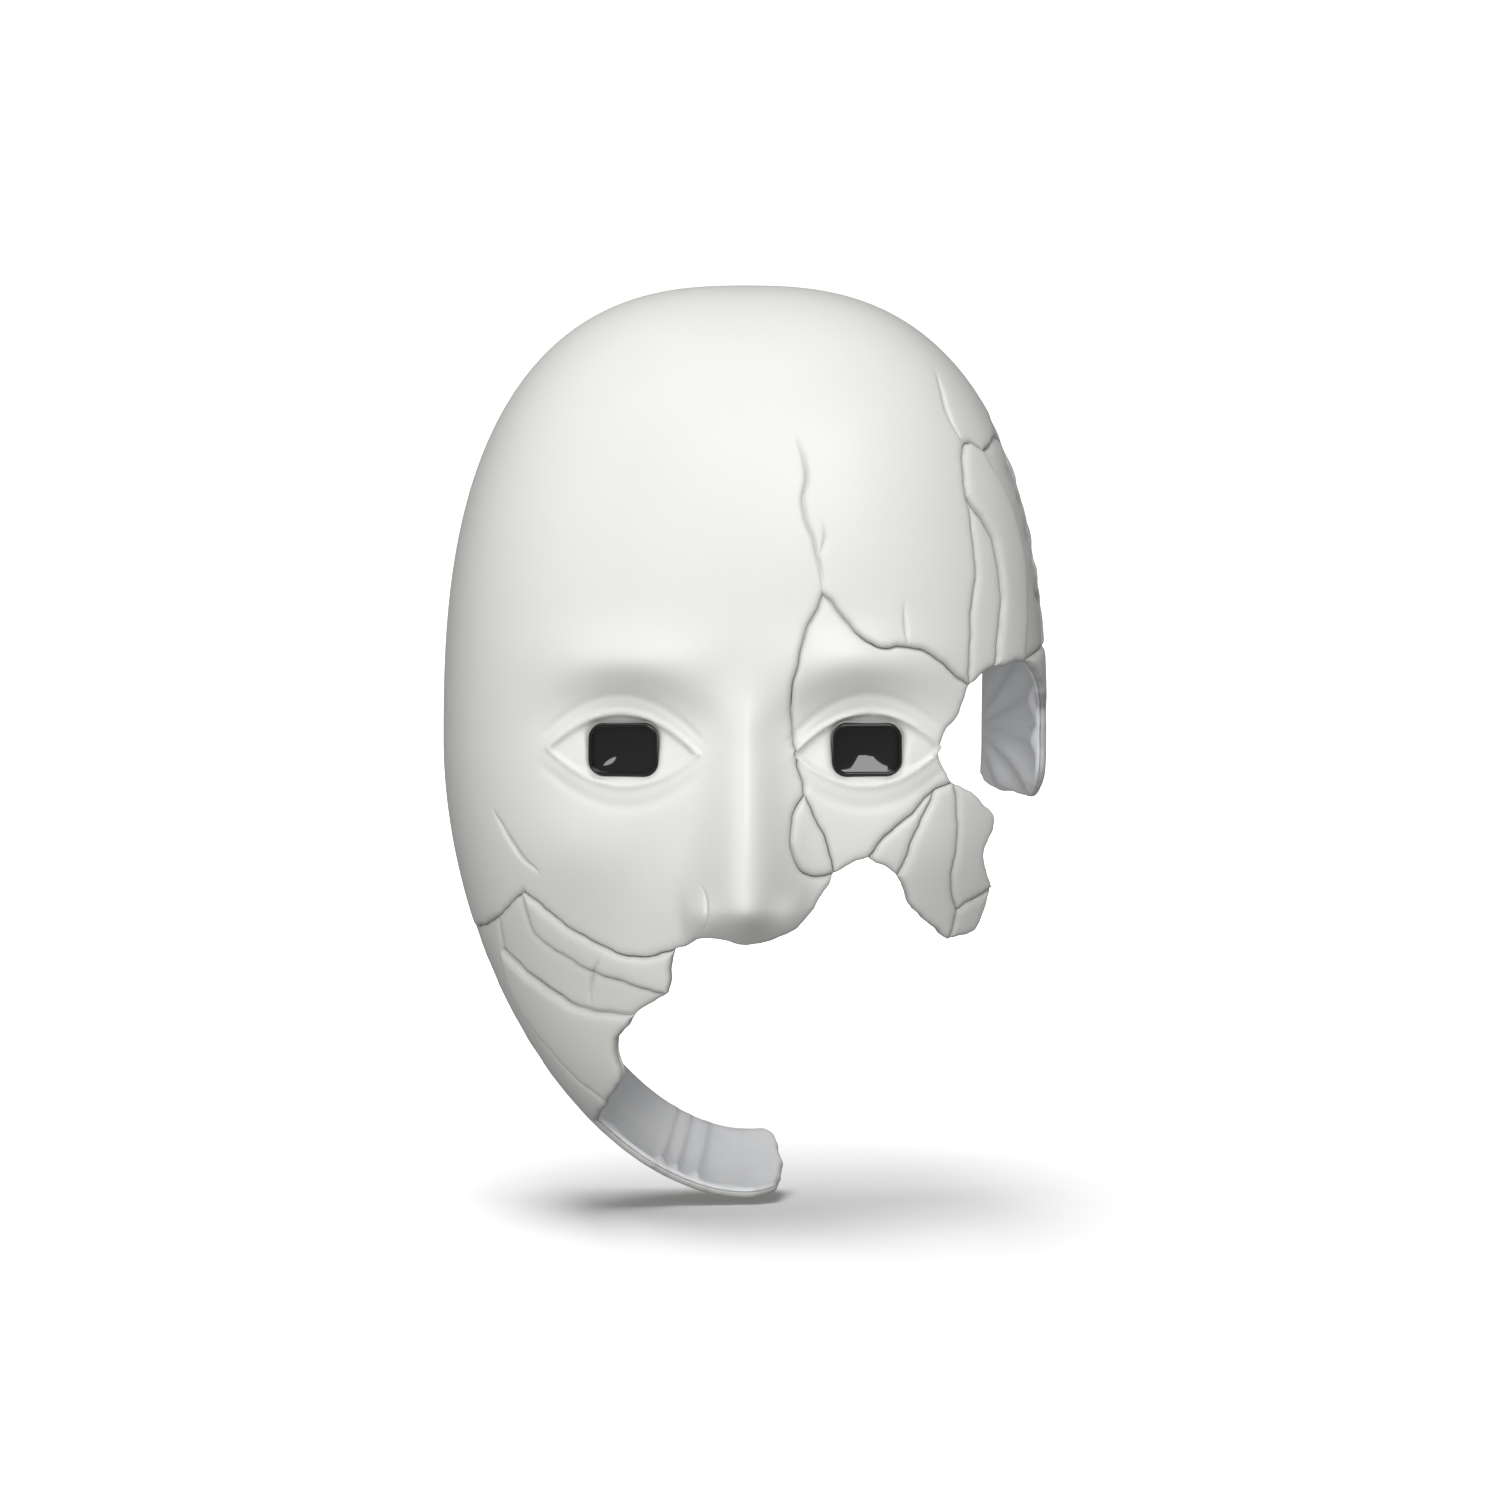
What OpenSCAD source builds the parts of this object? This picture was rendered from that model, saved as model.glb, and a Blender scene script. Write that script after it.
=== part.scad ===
// Broken full-face theatre mask: glazed outer shards bonded to a thin backing shell.
// Millimetres. The face looks along -Y, +X is the viewer's right and +Z is up.
// The origin is the middle of the back rim, where the mask rests against a head.

/* [Face] */
// Half of the width across the temples
half_width = 82.5; // [80:0.5:86]
// Half of the height from chin to crown
half_height = 125; // [121:1:130]
// How far the front stands before the widest outline
front_depth = 62; // [58:1:66]
// Radius of the rolled rim behind the widest outline
rim_radius = 37.5; // [36:0.5:39]
// Height of the nose above the face
nose_height = 17; // [12:1:19]

/* [Shell] */
// Thickness of the glazed outer pieces
glaze_t = 1.8; // [1.6:0.1:2]
// Thickness of the backing shell
backing_t = 1.2; // [1:0.1:1.3]
// Width of the cracks between outer pieces
crack_gap = 0.4; // [0.3:0.05:0.6]
// How far the backing stays behind the broken edges
backing_inset = 1.6; // [1:0.1:2.5]

/* [Eyes] */
// Distance between the middles of the eyes
eye_spacing = 66; // [64:1:68]
// Width of an eye window
window_w = 17; // [15:0.5:18]
// Height of an eye window
window_h = 12; // [10:0.5:12.5]
// Wall of the black liner in a window
liner_t = 1; // [0.8:0.1:1.2]

/* [Pads] */
// Thickness of the foam pads
pad_t = 6; // [4:0.5:7]

/* [Strap fittings] */
// Height of the strap rings above the eye line
strap_z = 38; // [36:1:40]
// Inside height of a ring, for a strap a little narrower
ring_inside = 27.5; // [25:0.5:30]
// Reach of a ring from its pivot to its far bar
ring_reach = 12; // [10:0.5:13]
// Radius of the ring wire
wire_r = 1.25; // [1.1:0.05:1.3]
// Running clearance round the ring wire in its barrel
pivot_clearance = 0.08; // [0.04:0.01:0.1]
// Radius of the hole through the crown eyelet
eyelet_r = 2.5; // [2:0.1:2.8]

/* [Hidden] */

$fn = 48;
LEFT = -1;
RIGHT = 1;

glaze_colour = [0.93, 0.93, 0.90];
backing_colour = [0.80, 0.82, 0.84];
black_gloss = [0.03, 0.03, 0.03];
foam_colour = [0.25, 0.25, 0.27];
steel_colour = [0.72, 0.72, 0.74];

// The outline is a superellipse, fuller at the crown than at the chin.
crown_power = 2.6;
chin_power = 1.85;
section_power = 2.3;
rim_arc = 55;
rim_depth = rim_radius * sin(rim_arc);

// The shell's grid: columns round the face, and rows from the middle of the face to the rim.
columns = 72;
rows = [
    for (v = [3.5:3.5:28]) v,
    for (v = [35:7:84]) v,
    90, 104, 118, 132, 90 + rim_arc,
];

bond_gap = 0.08;
shell_t = glaze_t + bond_gap + backing_t;

// How far from the face's middle a cut starts and ends.
near = 20;
far = 150;

// Face surface ---------------------------------------------------------------

// Radius of the outline at an angle round the face.
function outline(angle) =
    let (n = sin(angle) >= 0 ? crown_power : chin_power)
    pow(pow(abs(cos(angle)) / half_width, n) + pow(abs(sin(angle)) / half_height, n), -1 / n);

function ramp(x, from, to) = let (t = max(0, min(1, (x - from) / (to - from)))) t * t * (3 - 2 * t);
function bump(x, z, at, size) =
    let (dx = (x - at.x) / size.x, dz = (z - at.y) / size.y) exp(-dx * dx - dz * dz);

// The nose ridge rises from the brow to its tip and drops to the lip.
function nose(x, z) =
    let (down = ramp(-z, -20, 44), under = 1 - ramp(-z, 42, 58), width = 6.5 + 6 * down)
    nose_height * (0.12 + 0.88 * down) * under * (1 - ramp(z, 4, 26)) * exp(-pow(x / width, 2));

// Height of the features above the plain front, mirrored left to right.
function relief(x, z) =
    let (u = abs(x), e = eye_spacing / 2)
    nose(x, z)
    - 6.5 * bump(u, z, [e - 3, 4], [17, 11])
    + 3.5 * bump(u, z, [e, -1], [13, 7])
    + 2.2 * bump(u, z, [e - 2, 24], [22, 8])
    + 2.5 * bump(u, z, [e + 12, -27], [17, 14])
    - 2.0 * bump(u, z, [e + 14, -64], [16, 20]);

// A point of the outer surface. The row is in degrees: 0 is the middle of the face, 90 is the
// widest outline, and the rows past it run back along the rolled rim.
function skin(angle, row) =
    let (behind = max(0, row - 90),
         front = min(row, 90),
         radius = outline(angle) * pow(sin(front), 2 / section_power) - rim_radius * (1 - cos(behind)),
         depth = front_depth * pow(max(0, cos(front)), 2 / section_power) - rim_radius * sin(behind),
         x = radius * cos(angle),
         z = radius * sin(angle))
    [x, -rim_depth - depth - relief(x, z) * (1 - ramp(row, 58, 88)), z];

function unit(v) = v / norm(v);
function normal(angle, row) =
    let (e = 0.8, r = max(row, 2 * e))
    unit(cross(skin(angle, r + e) - skin(angle, r - e), skin(angle + e, r) - skin(angle - e, r)));
function below(angle, row, depth) = skin(angle, row) - depth * normal(angle, row);

// The row and angle of the surface point that is seen at x, z from the front.
function row_at(p) = asin(min(1, pow(norm(p) / outline(atan2(p.y, p.x)), section_power / 2)));
function seen_at(p) = skin(atan2(p.y, p.x), row_at(p));

// A closed shell between two depths under the whole surface.
module shell(outer_depth, inner_depth) {
    count = columns * len(rows);
    middle = [0, skin(0, 0).y, 0];
    function layer(depth) = [for (row = rows, i = [0:columns - 1]) below(i * 360 / columns, row, depth)];
    function at(layer, row, i) = layer * (count + 1) + row * columns + (i % columns);
    polyhedron(
        points = concat(
            layer(outer_depth), [middle + [0, outer_depth, 0]],
            layer(inner_depth), [middle + [0, inner_depth, 0]]
        ),
        faces = [
            for (i = [0:columns - 1]) [count, at(0, 0, i + 1), at(0, 0, i)],
            for (i = [0:columns - 1]) [2 * count + 1, at(1, 0, i), at(1, 0, i + 1)],
            for (r = [0:len(rows) - 2], i = [0:columns - 1]) each [
                [at(0, r, i), at(0, r + 1, i + 1), at(0, r + 1, i)],
                [at(0, r, i), at(0, r, i + 1), at(0, r + 1, i + 1)],
                [at(1, r, i), at(1, r + 1, i), at(1, r + 1, i + 1)],
                [at(1, r, i), at(1, r + 1, i + 1), at(1, r, i + 1)],
            ],
            for (i = [0:columns - 1]) each [
                [at(0, len(rows) - 1, i), at(1, len(rows) - 1, i + 1), at(1, len(rows) - 1, i)],
                [at(0, len(rows) - 1, i), at(0, len(rows) - 1, i + 1), at(1, len(rows) - 1, i + 1)],
            ],
        ],
        convexity = 10
    );
}

// Keeps a cut piece of the shell at its own size, on the shell's own facets.
module faceted() { resize([0, 0, 0]) children(); }

// Crack and break network ----------------------------------------------------
// Each point is [x, z] as seen from the front. Neighbours share the points of their crack.

break_jaw = [[-38, -97], [-33, -90], [-36, -80], [-30, -72], [-21, -66], [-19, -54]];
break_nose = [[-9, -50], [3, -53], [15, -48], [21, -40], [24, -33]];
break_cheek = [
    [33, -29], [41, -34], [46, -45], [55, -52], [64, -50], [67, -38], [64, -28], [69, -19], [62, -12],
];
break_eye = [[56, -9], [52, -3], [54, 4], [58, 9], [61, 17]];
break_temple = [[68, 22], [76, 23]];
flap_angle = [-11, 18];
chin_angle = [237, 275];

function ray(angle, length = far) = length * [cos(angle), sin(angle)];

missing_front = concat(
    [[-42, -104]], break_jaw, break_nose, break_cheek, break_eye, break_temple,
    [ray(flap_angle[1]), [far, -far], [-60, -far]]
);
missing_back = [
    ray(flap_angle[0], near), ray(flap_angle[0]), [far, -far], ray(chin_angle[1]), ray(chin_angle[1], near),
];
side_wall_back = [
    ray(flap_angle[0], near), ray(flap_angle[0]), ray(flap_angle[1]), ray(flap_angle[1], near),
];
chin_back = [
    ray(chin_angle[0], near), ray(chin_angle[0]), [-40, -far], ray(chin_angle[1]), ray(chin_angle[1], near),
];

brow_left = [[24, -33], [21, -22], [16, -12], [14, 0], [12, 15], [15, 29], [21, 42]];
brow_top = [[28, 34], [36, 27], [44, 29], [52, 25], [61, 17]];
cheek_top = [[33, -29], [38, -23], [45, -17], [51, -11], [56, -9]];
cheekbone_side = [[51, -11], [46, -23], [41, -34]];
cheek_middle = [[56, -9], [58, -22], [55, -35], [57, -44]];
chip_top = [[57, -44], [62, -41], [67, -38]];
temple_a = [[61, 17], [61, 34], [63, 50], [60, 68]];
temple_b = [[68, 22], [70, 40], [68, 56], [60, 68]];
temple_c = [[76, 23], [77, 44], [74, 62], [65, 80]];
jaw_a = [[-19, -54], [-27, -57], [-39, -54], [-50, -47], [-60, -39]];
jaw_b = [[-21, -66], [-34, -63], [-47, -58], [-58, -50], [-60, -39]];
jaw_c = [[-30, -72], [-42, -72], [-54, -66], [-66, -55], [-67, -46]];
jaw_d = [[-38, -97], [-48, -89], [-57, -78], [-64, -67], [-66, -55]];

brow_outline = concat(brow_left, brow_top, [[58, 9], [54, 4], [52, -3], [56, -9]], back_to(cheek_top));
nose_chip_outline = [[24, -33], [21, -22], [16, -12], [12, -19], [13, -29], [18, -35]];
temple_front_outline = concat(temple_a, back_to(temple_b));
temple_middle_outline = concat([[68, 22], [70, 40], [68, 56], [60, 68]], [[58, 84]], back_to(temple_c));
temple_rear_outline = concat(temple_c, [ray(50), ray(18)]);
cheekbone_outline = concat([[33, -29], [38, -23], [45, -17]], cheekbone_side);
cheek_inner_outline = concat(
    back_to(cheekbone_side), cheek_middle, [[55, -52], [46, -45]]
);
cheek_outer_outline = concat(cheek_middle, chip_top, [[64, -28], [69, -19], [62, -12]]);
cheek_chip_outline = concat(chip_top, [[64, -50], [55, -52]]);
jaw_upper_outline = concat(jaw_a, back_to(jaw_b));
jaw_middle_outline = concat(jaw_b, [[-67, -46]], back_to(jaw_c));
jaw_lower_outline = concat(jaw_c, back_to(jaw_d), [[-33, -90], [-36, -80]]);
jaw_edge_outline = concat(jaw_d, [[-67, -46]], [ray(214), [-far, -far], [-60, -far], [-42, -104]]);

function back_to(points) = [for (i = [len(points) - 1:-1:0]) points[i]];

// A prism over an outline, before the widest outline of the face or behind it.
module in_front(points, grow = 0) {
    translate([0, -rim_depth + grow, 0])
        rotate([90, 0, 0])
            linear_extrude(far) offset(delta = grow) polygon(points);
}
module behind(points, grow = 0) {
    translate([0, far, 0])
        rotate([90, 0, 0])
            linear_extrude(far + rim_depth + grow) offset(delta = grow) polygon(points);
}

// A crack that ends inside a piece: a slot that narrows at both ends.
module dead_crack(points) {
    last = len(points) - 1;
    end_width = 0.1 * crack_gap;
    function width(i) = i == 0 || i == last ? end_width : crack_gap;
    right_side = [for (i = [last:-1:0]) points[i] + [width(i), width(i) / 2]];
    translate([0, -rim_depth, 0])
        rotate([90, 0, 0]) linear_extrude(far) polygon(concat(points, right_side));
}

forehead_crack = [[21, 42], [20, 52], [15, 64], [17, 74], [14, 84]];
temple_crack = [[58, 84], [54, 92]];
jaw_crack = [[-39, -57], [-43, -65], [-42, -69.5]];

// An outer piece cut from the glazed shell, less its children, raised a little above its neighbours.
module shard(points, lift = 0) {
    color(glaze_colour)
        faceted()
            translate([0, -lift, 0])
                difference() {
                    intersection() {
                        shell(0, glaze_t);
                        in_front(points, -crack_gap / 2);
                    }
                    children();
                }
}

// Outer pieces ---------------------------------------------------------------

module face_shell() {
    grow = crack_gap / 2;
    color(glaze_colour)
        faceted()
            difference() {
                shell(0, glaze_t);
                in_front(missing_front, grow);
                behind(missing_back);
                behind(side_wall_back, grow);
                behind(chin_back, grow);
                for (points = [
                    brow_outline, nose_chip_outline, temple_front_outline, temple_middle_outline,
                    temple_rear_outline, cheekbone_outline, cheek_inner_outline, cheek_outer_outline,
                    cheek_chip_outline, jaw_upper_outline, jaw_middle_outline, jaw_lower_outline,
                    jaw_edge_outline,
                ]) in_front(points, grow);
                for (crack = [forehead_crack, temple_crack]) dead_crack(crack);
                window_hole(LEFT);
                for (side = [LEFT, RIGHT]) rivet_holes(side);
                eyelet_hole();
            }
}

module brow_shard() { shard(brow_outline) window_hole(RIGHT); }
module nose_chip() { shard(nose_chip_outline, 0.3); }
module temple_shard_front() { shard(temple_front_outline, 0.2); }
module temple_shard_middle() { shard(temple_middle_outline, 0.4); }
module temple_shard_rear() { shard(temple_rear_outline); }
module cheekbone_shard() { shard(cheekbone_outline, 0.1); }
module cheek_shard_inner() { shard(cheek_inner_outline, 0.5); }
module cheek_shard_outer() { shard(cheek_outer_outline, 0.2); }
module cheek_chip() { shard(cheek_chip_outline); }
module jaw_shard_upper() { shard(jaw_upper_outline, 0.4); }
module jaw_shard_lower() { shard(jaw_lower_outline, 0.3); }
module jaw_edge_strip() { shard(jaw_edge_outline); }

module jaw_shard_middle() { shard(jaw_middle_outline) dead_crack(jaw_crack); }

module side_wall_shard() {
    color(glaze_colour)
        faceted()
            intersection() {
                shell(0, glaze_t);
                behind(side_wall_back, -crack_gap / 2);
            }
}

module chin_band() {
    color(glaze_colour)
        faceted()
            intersection() {
                shell(0, glaze_t);
                behind(chin_back, -crack_gap / 2);
            }
}

// Backing --------------------------------------------------------------------

module backing_shell() {
    color(backing_colour)
        faceted()
            difference() {
                shell(glaze_t + bond_gap, shell_t);
                in_front(missing_front, backing_inset);
                behind(missing_back, backing_inset);
                for (side = [LEFT, RIGHT]) {
                    window_hole(side, backing_clearance);
                    at_eye(side)
                        window_block(flange_margin + backing_clearance, flange_at - fit_gap, window_reach);
                    rivet_holes(side);
                }
                eyelet_hole();
            }
}

// Eye windows ----------------------------------------------------------------

slope_step = 7;
eye_point = seen_at([eye_spacing / 2, 0]);
eye_slope = seen_at([eye_spacing / 2 + slope_step, 0]) - seen_at([eye_spacing / 2 - slope_step, 0]);
eye_turn = atan2(eye_slope.y, eye_slope.x);
window_corner = 3;
window_reach = 14;
fit_gap = 0.12;
backing_clearance = 0.4;

// Puts a right-hand piece at its place on either side of the face.
module mirrored(side) { mirror([side == LEFT ? 1 : 0, 0, 0]) children(); }

// The eye's own axes: its origin on the outer surface and +Y into the mask.
module at_eye(side) {
    mirrored(side) translate(eye_point) rotate([0, 0, eye_turn]) children();
}

// A rounded rectangle as large as the window plus a margin, from one depth to another.
module window_block(margin, from, to) {
    translate([0, to, 0])
        rotate([90, 0, 0])
            linear_extrude(to - from)
                rounded_rectangle(window_w + 2 * margin, window_h + 2 * margin, window_corner + margin);
}

module rounded_rectangle(width, height, corner) {
    square([width, height - 2 * corner], center = true);
    square([width - 2 * corner, height], center = true);
    for (x = [-1, 1], y = [-1, 1])
        translate([x * (width / 2 - corner), y * (height / 2 - corner)]) circle(corner);
}

module window_hole(side, extra = 0) {
    at_eye(side) window_block(liner_t + fit_gap + extra, -window_reach, window_reach);
}

liner_from = 1;
flange_at = shell_t + 2.2;
flange_t = 1;
flange_margin = liner_t + 2.2;

module eye_liner(side) {
    color(black_gloss)
        at_eye(side)
            difference() {
                union() {
                    window_block(liner_t, liner_from, flange_at + flange_t);
                    window_block(flange_margin, flange_at, flange_at + flange_t);
                }
                window_block(0, liner_from - 1, flange_at + flange_t + 1);
            }
}

lens_t = 1.2;
lens_at = flange_at + flange_t + 0.05;
lens_margin = flange_margin - 0.5;

module eye_lens(side) {
    color(black_gloss) at_eye(side) window_block(lens_margin, lens_at, lens_at + lens_t);
}

module eye_liner_left() { eye_liner(LEFT); }
module eye_liner_right() { eye_liner(RIGHT); }
module eye_lens_left() { eye_lens(LEFT); }
module eye_lens_right() { eye_lens(RIGHT); }

// Foam pads ------------------------------------------------------------------

pad_gap = 0.35;
pad_taper = 0.12;

// A closed pad under part of the shell. Angles run round the face and rows from middle to rim.
module pad(angles, pad_rows, steps = [8, 4]) {
    depths = [shell_t + pad_gap, shell_t + pad_gap + pad_t];
    across = steps[0];
    along = steps[1];
    function step(range, i, n) = range[0] + (range[1] - range[0]) * i / n;
    function at(layer, i, j) = (layer * (along + 1) + j) * (across + 1) + i;
    function edge(a, b, c, d) = [[a, c, b], [a, d, c]];
    color(foam_colour)
        polyhedron(
            points = [
                for (k = [0, 1], j = [0:along], i = [0:across])
                    let (inset = k * pad_taper,
                         a = step(angles, across / 2 + (i - across / 2) * (1 - inset), across),
                         r = step(pad_rows, along / 2 + (j - along / 2) * (1 - inset), along))
                    below(a, r, depths[k])
            ],
            faces = [
                for (j = [0:along - 1], i = [0:across - 1]) each edge(
                    at(0, i, j), at(0, i, j + 1), at(0, i + 1, j + 1), at(0, i + 1, j)
                ),
                for (j = [0:along - 1], i = [0:across - 1]) each edge(
                    at(1, i, j), at(1, i + 1, j), at(1, i + 1, j + 1), at(1, i, j + 1)
                ),
                for (i = [0:across - 1]) each edge(at(0, i, 0), at(0, i + 1, 0), at(1, i + 1, 0), at(1, i, 0)),
                for (i = [0:across - 1]) each edge(
                    at(0, i + 1, along), at(0, i, along), at(1, i, along), at(1, i + 1, along)
                ),
                for (j = [0:along - 1]) each edge(
                    at(0, 0, j + 1), at(0, 0, j), at(1, 0, j), at(1, 0, j + 1)
                ),
                for (j = [0:along - 1]) each edge(
                    at(0, across, j), at(0, across, j + 1), at(1, across, j + 1), at(1, across, j)
                ),
            ]
        );
}

module forehead_pad() { pad([62, 118], [32, 44]); }
module temple_pad_right() { pad([26, 46], [58, 72]); }
module temple_pad_left() { mirrored(LEFT) temple_pad_right(); }
module cheek_pad_left() { pad([198, 222], [42, 56]); }

// Crown eyelet ---------------------------------------------------------------

eyelet_row = 115;
eyelet_wall = 0.6;
eyelet_clearance = 0.2;
eyelet_flange = 2.2;
eyelet_out = 0.9;
eyelet_in = shell_t + 1.3;

// The eyelet's own axes: its origin on the outer surface and +Z straight out of it.
module at_crown() {
    translate(skin(90, eyelet_row)) rotate([-(eyelet_row - 90), 0, 0]) children();
}

module eyelet_hole() {
    at_crown() cylinder(h = 12, r = eyelet_r + eyelet_wall + eyelet_clearance, center = true);
}

module crown_eyelet() {
    color(steel_colour)
        at_crown()
            rotate_extrude()
                translate([eyelet_r, -eyelet_in]) {
                    square([eyelet_wall, eyelet_in + eyelet_out]);
                    square([eyelet_wall + eyelet_flange, eyelet_wall]);
                    translate([0, eyelet_in + eyelet_out - eyelet_wall])
                        square([eyelet_wall + eyelet_flange, eyelet_wall]);
                }
}

// Strap fittings -------------------------------------------------------------

bracket_roll = 42;
bracket_angle = wall_angle(strap_z, 24);
bracket_point = skin(bracket_angle, 90 + bracket_roll);
bracket_lean = wall_lean(bracket_angle);
plate_face = shell_t + 1.6;
plate_t = 1.2;
plate_h = 16;
plate_span = [-7.5, 3.5];
plate_back = plate_face + plate_t;
barrel_at = [-7, 8.5];
barrel_r = 2.6;
tab_overlap = 1;
tab_joins = [[1.2, -1.6], [-1, -1.8]];
rivet_at = [-2, 5.2];
rivet_r = 1.2;
head_r = 2.3;
head_top_r = 1.4;
head_t = 0.5;
head_gap = 0.25;
tail_r = 2;
tail_t = 0.9;
washer_r = 2.4;
washer_gap = 1;
touch_gap = 0.05;

// The angle whose rim point has a given height, found by stepping towards it.
function wall_angle(height, angle, tries = 12) =
    tries == 0 ? angle
    : wall_angle(height, angle + (height - skin(angle, 90 + bracket_roll).z) / 1.6, tries - 1);
// How far the rim's outward direction leans up from level at an angle.
function wall_lean(angle) =
    let (step = skin(angle + 1, 90) - skin(angle - 1, 90)) atan2(-step.x, step.z);

// The bracket's own axes: X out of the wall, Y towards the rim and Z along the pivot.
module at_bracket(side) {
    mirrored(side)
        translate(bracket_point)
            rotate([0, -bracket_lean, 0])
                rotate([0, 0, bracket_roll])
                    children();
}

module at_rivets(side) {
    at_bracket(side)
        for (z = [-1, 1])
            translate([0, rivet_at.x, z * rivet_at.y]) rotate([0, 90, 0]) children();
}

module rivet_holes(side) {
    at_rivets(side) cylinder(h = 3 * shell_t, r = rivet_r + 0.25, center = true);
}

// A riveted plate with a bent tab that ends in the barrel of the pivot.
module strap_bracket(side) {
    tab = [
        [-plate_back, plate_span[1] - tab_overlap], [-plate_face, plate_span[1] - tab_overlap],
        [-plate_face, plate_span[1]], barrel_at + tab_joins[0], barrel_at + tab_joins[1],
    ];
    color(steel_colour)
        difference() {
            at_bracket(side)
                translate([0, 0, -plate_h / 2])
                    linear_extrude(plate_h) {
                        translate([-plate_back, plate_span[0]])
                            square([plate_t, plate_span[1] - plate_span[0]]);
                        polygon(tab);
                        translate(barrel_at) circle(barrel_r);
                    }
            at_bracket(side)
                translate([barrel_at.x, barrel_at.y, -plate_h])
                    cylinder(h = 2 * plate_h, r = wire_r + pivot_clearance);
            at_rivets(side)
                translate([0, 0, -plate_back - tail_t])
                    cylinder(h = plate_t + 2 * tail_t, r = rivet_r + touch_gap);
        }
}

// Shanks through the wall, with a low head outside and a closed tail on the plate.
module bracket_rivets(side) {
    color(steel_colour)
        at_rivets(side) {
            translate([0, 0, -plate_back - tail_t])
                cylinder(h = plate_back + tail_t + head_gap + head_t / 2, r = rivet_r);
            translate([0, 0, head_gap]) cylinder(h = head_t, r = head_r);
            translate([0, 0, head_gap + head_t]) cylinder(h = head_t, r1 = head_r, r2 = head_top_r);
            translate([0, 0, -plate_back - touch_gap - tail_t]) cylinder(h = tail_t, r = tail_r);
        }
}

module rivet_washers(side) {
    thickness = plate_face - shell_t - washer_gap;
    color(steel_colour)
        at_rivets(side)
            translate([0, 0, -plate_face + touch_gap])
                difference() {
                    cylinder(h = thickness, r = washer_r);
                    translate([0, 0, -thickness]) cylinder(h = 3 * thickness, r = rivet_r + 0.1);
                }
}

// A closed wire loop in the plane of its pivot, drawn pointing straight back.
module strap_ring(side) {
    corner = 3;
    tall = ring_inside / 2 + wire_r;
    color(steel_colour)
        at_bracket(side)
            translate([barrel_at.x, barrel_at.y, 0])
                rotate([0, 0, -bracket_roll]) {
                    for (y = [0, ring_reach])
                        translate([0, y, -tall + corner]) cylinder(h = 2 * (tall - corner), r = wire_r);
                    for (z = [-tall, tall])
                        translate([0, corner, z])
                            rotate([-90, 0, 0]) cylinder(h = ring_reach - 2 * corner, r = wire_r);
                    for (up = [-1, 1], back = [false, true]) ring_corner(up, back, corner, tall);
                }
}

// One rounded corner of the ring, at its upper or lower end and its pivot or back bar.
module ring_corner(up, back, corner, tall) {
    start = back ? (up > 0 ? 0 : 270) : (up > 0 ? 90 : 180);
    translate([0, back ? ring_reach - corner : corner, up * (tall - corner)])
        rotate([90, 0, 90])
            rotate([0, 0, start])
                rotate_extrude(angle = 90)
                    translate([corner, 0]) circle(wire_r);
}

module strap_bracket_left() { strap_bracket(LEFT); }
module strap_bracket_right() { strap_bracket(RIGHT); }
module bracket_rivets_left() { bracket_rivets(LEFT); }
module bracket_rivets_right() { bracket_rivets(RIGHT); }
module rivet_washers_left() { rivet_washers(LEFT); }
module rivet_washers_right() { rivet_washers(RIGHT); }
module strap_ring_left() { strap_ring(LEFT); }
module strap_ring_right() { strap_ring(RIGHT); }

backing_shell();
face_shell();
brow_shard();
nose_chip();
temple_shard_front();
temple_shard_middle();
temple_shard_rear();
side_wall_shard();
cheekbone_shard();
cheek_shard_inner();
cheek_shard_outer();
cheek_chip();
jaw_shard_upper();
jaw_shard_middle();
jaw_shard_lower();
jaw_edge_strip();
chin_band();
eye_liner_left();
eye_liner_right();
eye_lens_left();
eye_lens_right();
forehead_pad();
temple_pad_left();
temple_pad_right();
cheek_pad_left();
crown_eyelet();
strap_bracket_left();
strap_bracket_right();
bracket_rivets_left();
bracket_rivets_right();
rivet_washers_left();
rivet_washers_right();
strap_ring_left();
strap_ring_right();
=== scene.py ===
"""Finished look of a broken full-face theatre mask, built on its CAD frame.

The mask's form is one smooth surface, addressed by an angle round the face and a row from the
middle of the face (0) over the widest outline (90) to the rolled rim (145). A network of break
and crack lines divides a flat map of that surface into shards. Every shard is a closed solid
with softly rounded glaze edges, and one backing shell carries them all from behind.

Lengths of the form are in millimetres, and meshes are written in metres in the frame's axes.
"""

import logging
import math
from dataclasses import dataclass, field
from enum import Enum
from functools import cached_property
from typing import Callable, Sequence

import bmesh
import bpy
import numpy as np
from mathutils import Matrix, Vector
from mathutils.geometry import delaunay_2d_cdt
from mathutils.kdtree import KDTree


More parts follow.
